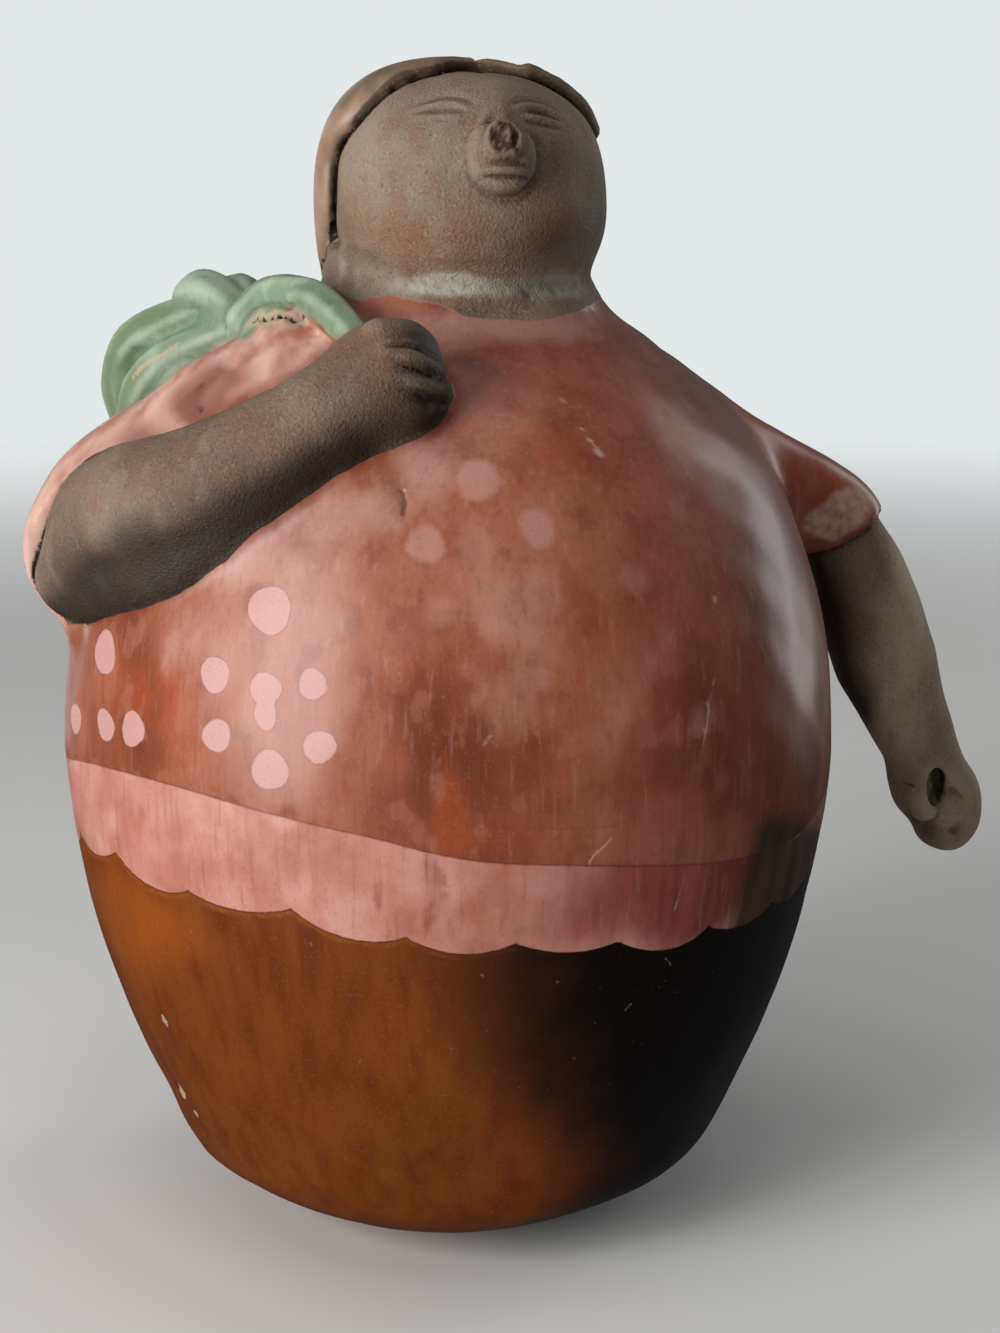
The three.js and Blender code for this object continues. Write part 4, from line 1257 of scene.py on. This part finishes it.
# What covers what, from the bottom up: (colours, texture that spreads them, masks, strength, roughness).
# The blouse's red slip lies under them all.
BASE = (["blouse_dark", "blouse", "blouse_light"], "patch", [], 1.0, 0.32)
LAYERS = [
    (["rust"], "", ["rust"], 0.6, 0.34),
    (["blouse_light"], "", ["scuffs"], 0.45, 0.36),
    (["blouse_dark"], "", ["smoky"], 0.35, 0.34),
    (["bloom"], "", ["bloom"], 0.66, 0.42),
    (["rose_dark"], "", ["crimson"], 0.55, 0.34),
    (["band_dark", "band", "band_light"], "cloud", ["below_hem", "above_scallop"], 1.0, 0.38),
    (["rust"], "", ["below_hem", "above_scallop", "smoky"], 0.2, 0.38),
    (["rose_dark", "rose"], "stroke", ["below_hem", "rose"], 0.9, 0.34),
    (["rose_dark"], "", ["below_hem", "smears"], 0.6, 0.4),
    # Painted shade over her left side.
    (["smoked"], "", ["dusk"], 0.5, 0.32),
    (["skirt_dark", "skirt", "skirt_light"], "stroke", ["below_scallop"], 1.0, 0.34),
    (["ember"], "", ["below_scallop", "ember"], 0.8, 0.34),
    (["skirt_light"], "", ["below_scallop", "scuffs"], 0.12, 0.34),
    (["ember"], "", ["below_scallop", "under_scallop"], 0.5, 0.36),
    (["blouse_dark"], "", ["dark_streaks", "above_scallop"], 0.25, 0.34),
    (["skirt_dark"], "", ["dark_streaks", "below_scallop"], 0.25, 0.34),
    (["bloom"], "", ["light_streaks", "above_scallop"], 0.2, 0.4),
    (["faded"], "", ["faded_dots"], 0.55, 0.4),
    (["faded"], "", ["faint_dots"], 0.3, 0.4),
    (["maroon"], "", ["red_oval"], 0.8, 0.36),
    (["dots"], "", ["dots"], 0.93, 0.45),
    (["line"], "", ["dot_line"], 0.28, 0.45),
    (["line"], "", ["hem_line"], 0.6, 0.45),
    (["line"], "", ["scallop_line"], 0.75, 0.45),
    (["ember"], "", ["scallop_rim", "dull"], 0.7, 0.4),
    (["blouse_dark"], "", ["dark_sand"], 0.22, 0.36),
    (["bloom"], "", ["light_sand"], 0.1, 0.38),
    (["olive_dark", "olive"], "stroke", ["olive"], 0.92, 0.34),
    # The thin fringe of the fire cloud and its painted shade.
    (["haze"], "", ["haze", "below_scallop"], 0.9, 0.34),
    # Soot of the fire cloud, with painted shade on her lower right.
    (["soot"], "", ["smoke", "below_scallop"], 0.9, 0.34),
    (["blush_dark", "blush", "blush_light"], "stroke", ["blush"], 0.95, 0.6),
    (["blush_dark", "blush_light"], "mottle", ["cuff"], 0.9, 0.6),
    (["blood"], "", ["blood"], 0.7, 0.6),
    # Painted shade in the valley between the right sleeve and chest.
    (["worn"], "", ["worn"], 0.85, 0.65),
    (["green_dark", "green"], "cloud", ["green"], 1.0, 0.55),
    (["green_light"], "", ["green", "dusty"], 0.75, 0.6),
    (["green_light"], "", ["green", "scuffs"], 0.3, 0.62),
    (["moss"], "", ["green", "dark_streaks"], 0.35, 0.6),
    (["moss"], "", ["green", "mossy"], 0.75, 0.55),
    # Wear and painted highlight on the plantains' ridges.
    (["green_light"], "", ["green", "ridge_wear_and_highlight"], 0.5, 0.6),
    # Dirt and painted shade in the plantains' hollows.
    (["green_dark"], "", ["green", "hollow_dirt_and_shade"], 0.7, 0.6),
    (["hair_dark", "hair", "hair_light"], "cloud", ["hair"], 1.0, 0.45),
    (["hair_edge", "hair_dark"], "mottle", ["hair", "patina"], 0.85, 0.7),
    (["hair_edge"], "", ["hair", "hair_edge"], 0.9, 0.85),
    (["beige"], "", ["hair", "hair_edge", "light_sand"], 0.3, 0.85),
    (["clay_dark", "clay", "clay_light"], "patch", ["raw_clay"], 1.0, 0.75),
    (["warm"], "", ["raw_clay", "warm"], 0.8, 0.72),
    (["clay_light"], "", ["raw_clay", "scuffs"], 0.3, 0.75),
    (["warm"], "", ["raw_clay", "smoky"], 0.4, 0.72),
    (["grain_light"], "", ["raw_clay", "rubbed"], 0.75, 0.75),
    (["grain_light"], "", ["raw_clay", "light_sand"], 0.25, 0.75),
    (["char"], "", ["raw_clay", "dark_sand"], 0.35, 0.8),
    # Soot and painted shade on the bare clay.
    (["char"], "", ["raw_clay", "char"], 0.88, 0.6),
    (["scar"], "", ["raw_clay", "scar"], 0.7, 0.85),
    # Pale scuffs, and painted highlight on the neck and the muzzle's left flank.
    (["ash"], "", ["raw_clay", "ash"], 0.85, 0.9),
    # Wear and painted highlight on the bare clay's ridges.
    (["clay_light"], "", ["raw_clay", "ridge_wear_and_highlight"], 0.35, 0.75),
    # Dirt and painted shade in the bare clay's hollows.
    (["char"], "", ["raw_clay", "hollow_dirt_and_shade"], 0.42, 0.85),
    (["beige"], "", ["crumble"], 0.85, 0.9),
    (["beige"], "", ["beige_line"], 0.75, 0.8),
    (["line"], "", ["chip_rims"], 0.6, 0.6),
    (["beige"], "", ["chips"], 0.65, 0.9),
    (["scratch"], "", ["scratches"], 0.65, 0.6),
    (["gouge"], "", ["gouges"], 0.7, 0.8),
    (["scratch"], "", ["dust"], 0.12, 0.6),
    # Painted shade at the joints between masses.
    (["soot"], "", ["crevice"], 0.5, 0.7),
    # Painted shade in the cracks and gaps.
    (["soot"], "", ["crack"], 0.96, 0.9),
]
SPREAD_START = 0.34  # the texture's values between which a layer runs through its colours
SPREAD_END = 0.66
GRAIN_DEPTH = 0.35  # of the bare clay's sand and pits, in millimetres
STROKE_DEPTH = 0.08  # of the slip's pressed strokes, in millimetres
SHEEN = 0.36  # reflection of the slip and the clay, where 0.5 is that of the default IOR


def add(tree, kind, inputs, out=0, **settings):
    """Adds a node, sets its settings and its inputs, each to a value or a link, and gives one output."""
    made = tree.nodes.new(kind)
    for name, value in settings.items():
        setattr(made, name, value)
    for socket, value in inputs.items():
        if isinstance(value, bpy.types.NodeSocket):
            tree.links.new(value, made.inputs[socket])
        else:
            made.inputs[socket].default_value = value
    return made.outputs[out]


def fired_clay(colours):
    """Low-fired earthenware: coloured slips burnished with a pebble before firing, and bare sandy clay.

    The burnished slip gives a soft satin gloss over mottled, streaked colour with smoke clouds. The
    bare clay is matte and grainy. One shader holds them all, because they are one fired surface. The
    colour also carries painted shade in the cracks, hollows and joints and on the side turned from the
    light, and painted highlight on the ridges, the neck and the muzzle.
    bare clay is matte and grainy. One shader holds them all, because they are one fired surface.
    """
    material = bpy.data.materials.new("Burnished earthenware")
    material.use_nodes = True
    tree = material.node_tree
    tree.nodes.clear()
    place = add(tree, "ShaderNodeTexCoord", {}, "Object")
    texture = {}
    for name, (size, detail, stretch) in TEXTURES.items():
        scale = tuple(1 / (size * MM * along) for along in (1, 1, stretch))
        marks = add(tree, "ShaderNodeVectorMath", {0: place, 1: scale}, operation="MULTIPLY")
        texture[name] = add(tree, "ShaderNodeTexNoise", {"Vector": marks, "Scale": 1.0, "Detail": detail})
    painted = {}
    for name in sorted({mask[0] for mask in (*MASKS.values(), *LINES.values())}):
        painted[name] = add(tree, "ShaderNodeAttribute", {}, "Fac", attribute_name=name)

    masks = {}
    for name, (field, spread, wobble, start, full) in MASKS.items():
        off = add(tree, "ShaderNodeMath", {0: texture[spread], 1: 0.5}, operation="SUBTRACT")
        moved = add(tree, "ShaderNodeMath", {0: off, 1: wobble, 2: painted[field]}, operation="MULTIPLY_ADD")
        masks[name] = (moved, start, full)
    for name, (field, half_width) in LINES.items():
        away = add(tree, "ShaderNodeMath", {0: painted[field]}, operation="ABSOLUTE")
        masks[name] = (away, half_width, 0.1 * half_width)
    for name, (spread, start, full) in MARKS.items():
        masks[name] = (texture[spread], start, full)
    for name, (value, start, full) in masks.items():
        masks[name] = add(tree, "ShaderNodeMapRange", {"Value": value, "From Min": start, "From Max": full},
                          interpolation_type="SMOOTHSTEP")

    tone = {name: tuple(getattr(colours, name)) for name in COLOURS}
    colour, rough = None, None
    for names, spread, over, strength, gloss in [BASE] + LAYERS:
        paint = tone[names[0]]
        if spread:
            ramp = add(tree, "ShaderNodeMapRange", {"Value": texture[spread], "From Min": SPREAD_START,
                                                    "From Max": SPREAD_END, "To Max": len(names) - 1.0})
            for step, name in enumerate(names[1:]):
                share = add(tree, "ShaderNodeMath", {0: ramp, 1: float(step)}, operation="SUBTRACT",
                            use_clamp=True)
                paint = add(tree, "ShaderNodeMix", {0: share, 6: paint, 7: tone[name]}, 2, data_type="RGBA")
        if colour is None:
            colour, rough = paint, gloss
            continue
        cover = strength
        for name in over:
            cover = add(tree, "ShaderNodeMath", {0: cover, 1: masks[name]}, operation="MULTIPLY")
        colour = add(tree, "ShaderNodeMix", {0: cover, 6: colour, 7: paint}, 2, data_type="RGBA")
        rough = add(tree, "ShaderNodeMix", {0: cover, 2: rough, 3: gloss})

    # The slip is pressed smooth in strokes; the bare clay keeps its grains and pits.
    grain = add(tree, "ShaderNodeMath", {0: texture["sand"], 1: masks["raw_clay"]}, operation="MULTIPLY")
    pits = add(tree, "ShaderNodeMath", {0: masks["pits"], 1: masks["raw_clay"]}, operation="MULTIPLY")
    grain = add(tree, "ShaderNodeMath", {0: pits, 1: -0.6, 2: grain}, operation="MULTIPLY_ADD")
    coarse = add(tree, "ShaderNodeBump", {"Strength": 1.0, "Distance": GRAIN_DEPTH * MM, "Height": grain})
    pressed = add(tree, "ShaderNodeBump", {"Strength": 1.0, "Distance": STROKE_DEPTH * MM,
                                           "Height": texture["scuff"], "Normal": coarse})
    shader = add(tree, "ShaderNodeBsdfPrincipled", {"Base Color": colour, "Roughness": rough,
                                                    "Normal": pressed, "Specular IOR Level": SHEEN})
    tree.links.new(shader, tree.nodes.new("ShaderNodeOutputMaterial").inputs["Surface"])
    return material


# Settings that a user would change

COLOURS = {
    "blouse_dark": ("#6f3523", "Smoked red slip of the blouse"),
    "blouse": ("#924e35", "Burnished red slip of the blouse"),
    "blouse_light": ("#a0604a", "Lighter red slip of the blouse"),
    "bloom": ("#b7897b", "Pinkish bloom on the blouse"),
    "rust": ("#a04a20", "Cleanly fired orange of the slip"),
    "band_dark": ("#a9695a", "Deep pink of the hem band"),
    "band": ("#b6796b", "Pink slip of the hem band"),
    "band_light": ("#bf897d", "Light pink of the hem band"),
    "rose_dark": ("#74281b", "Maroon end of the hem band"),
    "rose": ("#914035", "Deep rose of the hem band"),
    # Painted shade on her left side.
    "smoked": ("#4c1d12", "Smoke-darkened slip of her left side"),
    "maroon": ("#571812", "Dark red oval"),
    "dots": ("#be9089", "Light pink of the dots"),
    "faded": ("#bd8b80", "Dots that the smoke has dulled"),
    "line": ("#55261a", "Incised outlines"),
    "ember": ("#984a07", "Orange fired skirt"),
    "skirt_dark": ("#652b02", "Smoked brown of the skirt"),
    "skirt": ("#783802", "Amber brown of the skirt"),
    "skirt_light": ("#854302", "Light amber of the skirt"),
    # Thin smoke and painted shade on the skirt.
    "haze": ("#2a1205", "Thin smoke on the skirt"),
    "olive_dark": ("#1d120a", "Fire cloud"),
    "olive": ("#43301e", "Thin edge of the fire cloud"),
    # Soot and dirt, and painted shade in the cracks, gaps and joints and on her lower right.
    "soot": ("#0b0604", "Soot and dirt"),
    "blush_dark": ("#a37061", "Deeper pink of the shoulder"),
    "blush": ("#b98a7b", "Pale pink of the shoulder"),
    "blush_light": ("#c8a393", "Rubbed pink of the shoulder"),
    "blood": ("#a2564b", "Red slip showing on the shoulder"),
    # Painted shade in the valley of the shoulder.
    "worn": ("#7c4836", "Worn brown of the shoulder"),
    "green_dark": ("#6a7e63", "Deep green of the plantains"),
    "green": ("#7e9177", "Green slip of the plantains"),
    "moss": ("#5f6e4b", "Mossy shade of the plantains"),
    "green_light": ("#a6b39d", "Worn green of the plantains"),
    "hair_dark": ("#6c5c49", "Dark patina on the hair"),
    "hair": ("#92745f", "Hair"),
    "hair_light": ("#a58a79", "Rubbed hair"),
    "hair_edge": ("#4f3e2b", "Rough edge of the hair"),
    "clay_dark": ("#655142", "Smoked bare clay"),
    "clay": ("#7b6857", "Bare clay"),
    "clay_light": ("#8b7b69", "Bare clay where it is rubbed"),
    "warm": ("#7b573b", "Warm brown of the bare clay"),
    # Soot, and painted shade on the bare clay.
    "char": ("#201711", "Soot on the bare clay"),
    # Pale scuffs, and painted highlight on the neck and the muzzle.
    "ash": ("#aba698", "Pale scuffs on the neck"),
    "scar": ("#45352a", "Broken clay of the nose"),
    "grain_light": ("#b7a48c", "Sand grains"),
    "beige": ("#ad9a7f", "Clay under the slip"),
    "scratch": ("#c9a794", "Scratches and dust"),
    "gouge": ("#4a2216", "Dark gouges in the slip"),
}


class FigurineColours(bpy.types.PropertyGroup):
    """The slips, the bare clay and the dirt."""

    __annotations__ = {
        name: FloatVectorProperty(name=name.replace("_", " ").capitalize(), description=text,
                                  subtype="COLOR", size=4, min=0, max=1, default=linear(code))
        for name, (code, text) in COLOURS.items()
    }


class FigurineSizes(bpy.types.PropertyGroup):
    """Sizes of the skin, the painted edges and the relief."""

    skin_step: FloatProperty(
        name="Skin step", description="Edge of the squares on the plain body", default=0.0023, unit="LENGTH")
    scallop_drop: FloatProperty(
        name="Scallop drop", description="Height of one scallop", default=0.0028, unit="LENGTH")
    line_depth: FloatProperty(
        name="Line depth", description="Depth of the incised outlines", default=0.00025, unit="LENGTH")
    crack_depth: FloatProperty(
        name="Crack depth", description="Depth of the gap along the hair", default=0.0017, unit="LENGTH")
    unevenness: FloatProperty(
        name="Unevenness", description="How uneven the hand-built wall is", default=0.0003, unit="LENGTH")


class FigurineStudio(bpy.types.PropertyGroup):
    """The camera's place and the strength of the light."""

    azimuth: FloatProperty(
        name="Azimuth", description="Camera's turn towards her left", default=math.radians(-15),
        subtype="ANGLE")
    elevation: FloatProperty(
        name="Elevation", description="Camera's angle above level", default=math.radians(12.5),
        subtype="ANGLE")
    distance: FloatProperty(
        name="Distance", description="From the camera to its target", default=0.52, unit="LENGTH")
    target_height: FloatProperty(
        name="Target height", description="Height that the camera looks at", default=0.12, unit="LENGTH")
    target_side: FloatProperty(
        name="Target side", description="How far right of the figurine it looks", default=0.0112,
        unit="LENGTH")
    lens: FloatProperty(name="Lens", description="Focal length", default=63.74, unit="CAMERA")
    fill: FloatProperty(name="Fill", description="Brightness of the room's own light", default=0.16, min=0)
    backdrop: FloatVectorProperty(name="Backdrop", description="Pale backdrop", subtype="COLOR", size=4,
                                  min=0, max=1, default=linear("#e3e8e9"))


class FIGURINE_OT_clay(bpy.types.Operator):
    """Make the fired clay figurine"""

    bl_idname = "figurine.make_clay"
    bl_label = "Make the figurine"

    def execute(self, context):
        mesh = clay_mesh(context.scene.figurine_sizes)
        mesh.materials.append(fired_clay(context.scene.figurine_colours))
        figurine = bpy.data.objects.new("figurine_clay", mesh)
        context.collection.objects.link(figurine)
        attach(figurine, "root")
        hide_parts(NODE)
        return {"FINISHED"}


# Soft lamps, as (name, azimuth and elevation in degrees, distance, width and height in metres, watts).
LAMPS = [
    ("window", -62, 9, 0.95, 0.45, 0.8, 12.0),
    ("right_strip", 111, 14, 1.1, 0.28, 0.95, 2.7),
    ("wall", -165, 4, 1.3, 0.9, 0.9, 1.7),
    ("ceiling", -30, 78, 1.1, 0.9, 0.9, 2.6),
]
LAMP_HEIGHT = 0.13  # the height that the lamps point at
FLOOR_CLEAR = (0.55, 1.5)  # the floor is whole up to the first radius and gone at the second, in metres
FLOOR_LEVEL = -0.0002  # just under the foot
FLOOR_SIDES = 96
FLOOR_COLOUR = "#ebe9e5"
ROOM_COLOUR = "#e6ecf2"
ROOM_BELOW = 0.05  # strength of the room's light from below level; from above it is the fill
ROOM_CHANGE = 0.1  # the light changes between this far below and above level, as the way's upward part


def outward(azimuth, elevation):
    """The unit vector from the figurine towards a lamp or the camera."""
    return Vector((math.sin(azimuth) * math.cos(elevation), -math.cos(azimuth) * math.cos(elevation),
                   math.sin(elevation)))


class FIGURINE_OT_studio(bpy.types.Operator):
    """Make the floor, the lamps and the camera"""

    bl_idname = "figurine.make_studio"
    bl_label = "Make the studio"

    def execute(self, context):
        studio = context.scene.figurine_studio
        context.scene.view_settings.view_transform = "Standard"

        floor_mesh = bpy.data.meshes.new("floor")
        turns = np.linspace(0, 2 * math.pi, FLOOR_SIDES, endpoint=False)
        reach = FLOOR_CLEAR[1]
        level = np.full(FLOOR_SIDES, FLOOR_LEVEL)
        disc = np.stack([reach * np.cos(turns), reach * np.sin(turns), level], axis=1)
        floor_mesh.from_pydata(disc.tolist(), [], [list(range(FLOOR_SIDES))])
        board = bpy.data.materials.new("Pale painted board")
        board.use_nodes = True
        tree = board.node_tree
        radius = add(tree, "ShaderNodeVectorMath", {0: add(tree, "ShaderNodeTexCoord", {}, "Object")}, 1,
                     operation="LENGTH")
        solid = add(tree, "ShaderNodeMapRange", {"Value": radius, "From Min": reach,
                                                 "From Max": FLOOR_CLEAR[0]},
                    interpolation_type="SMOOTHSTEP")
        paint = tree.nodes["Principled BSDF"]
        paint.inputs["Base Color"].default_value = linear(FLOOR_COLOUR)
        paint.inputs["Roughness"].default_value = 0.8
        tree.links.new(solid, paint.inputs["Alpha"])
        floor_mesh.materials.append(board)
        floor = bpy.data.objects.new("floor", floor_mesh)
        context.collection.objects.link(floor)
        floor.visible_glossy = False

        for name, azimuth, elevation, distance, wide, tall, watts in LAMPS:
            lamp = bpy.data.lights.new(name, "AREA")
            lamp.shape = "RECTANGLE"
            lamp.size, lamp.size_y, lamp.energy = wide, tall, watts
            lit = bpy.data.objects.new(name, lamp)
            lit.visible_camera = False
            back = outward(math.radians(azimuth), math.radians(elevation))
            lit.location = Vector((0, 0, LAMP_HEIGHT)) + back * distance
            lit.rotation_euler = back.to_track_quat("Z", "Y").to_euler()
            context.collection.objects.link(lit)

        world = bpy.data.worlds.new("studio")
        context.scene.world = world
        world.use_nodes = True
        tree = world.node_tree
        tree.nodes.clear()
        way = add(tree, "ShaderNodeSeparateXYZ", {0: add(tree, "ShaderNodeTexCoord", {}, "Generated")}, "Z")
        above = add(tree, "ShaderNodeMapRange", {"Value": way, "From Min": -ROOM_CHANGE,
                                                 "From Max": ROOM_CHANGE, "To Min": ROOM_BELOW,
                                                 "To Max": studio.fill})
        room = add(tree, "ShaderNodeBackground", {"Color": linear(ROOM_COLOUR), "Strength": above})
        drop = add(tree, "ShaderNodeBackground", {"Color": tuple(studio.backdrop), "Strength": 1.0})
        seen = add(tree, "ShaderNodeLightPath", {}, "Is Camera Ray")
        both = add(tree, "ShaderNodeMixShader", {0: seen, 1: room, 2: drop})
        tree.links.new(both, tree.nodes.new("ShaderNodeOutputWorld").inputs["Surface"])

        camera = bpy.data.objects.new("camera", bpy.data.cameras.new("camera"))
        context.collection.objects.link(camera)
        back = outward(studio.azimuth, studio.elevation)
        side = Vector((math.cos(studio.azimuth), math.sin(studio.azimuth), 0))
        target = Vector((0, 0, studio.target_height)) + side * studio.target_side
        camera.location = target + back * studio.distance
        camera.rotation_euler = back.to_track_quat("Z", "Y").to_euler()
        camera.data.lens = studio.lens
        camera.data.clip_start = 0.01
        context.scene.camera = camera
        return {"FINISHED"}


class FIGURINE_PT_panel(bpy.types.Panel):
    """Lists the figurine's settings and its two makers"""

    bl_idname = "FIGURINE_PT_panel"
    bl_label = "Clay figurine"
    bl_space_type = "VIEW_3D"
    bl_region_type = "UI"
    bl_category = "Figurine"

    def draw(self, context):
        for group in GROUPS:
            settings = getattr(context.scene, group)
            box = self.layout.box()
            for name in settings.__annotations__:
                box.prop(settings, name)
        for operator in OPERATORS:
            self.layout.operator(operator.bl_idname)


OPERATORS = (FIGURINE_OT_clay, FIGURINE_OT_studio)
GROUPS = {"figurine_sizes": FigurineSizes, "figurine_colours": FigurineColours,
          "figurine_studio": FigurineStudio}


def register():
    for made in (*GROUPS.values(), *OPERATORS, FIGURINE_PT_panel):
        bpy.utils.register_class(made)
    for name, group in GROUPS.items():
        setattr(bpy.types.Scene, name, PointerProperty(type=group))


def unregister():
    for name in GROUPS:
        delattr(bpy.types.Scene, name)
    for made in (FIGURINE_PT_panel, *OPERATORS, *GROUPS.values()):
        bpy.utils.unregister_class(made)


def main():
    register()
    bpy.ops.figurine.make_studio()
    bpy.ops.figurine.make_clay()


if __name__ == "__main__":
    main()
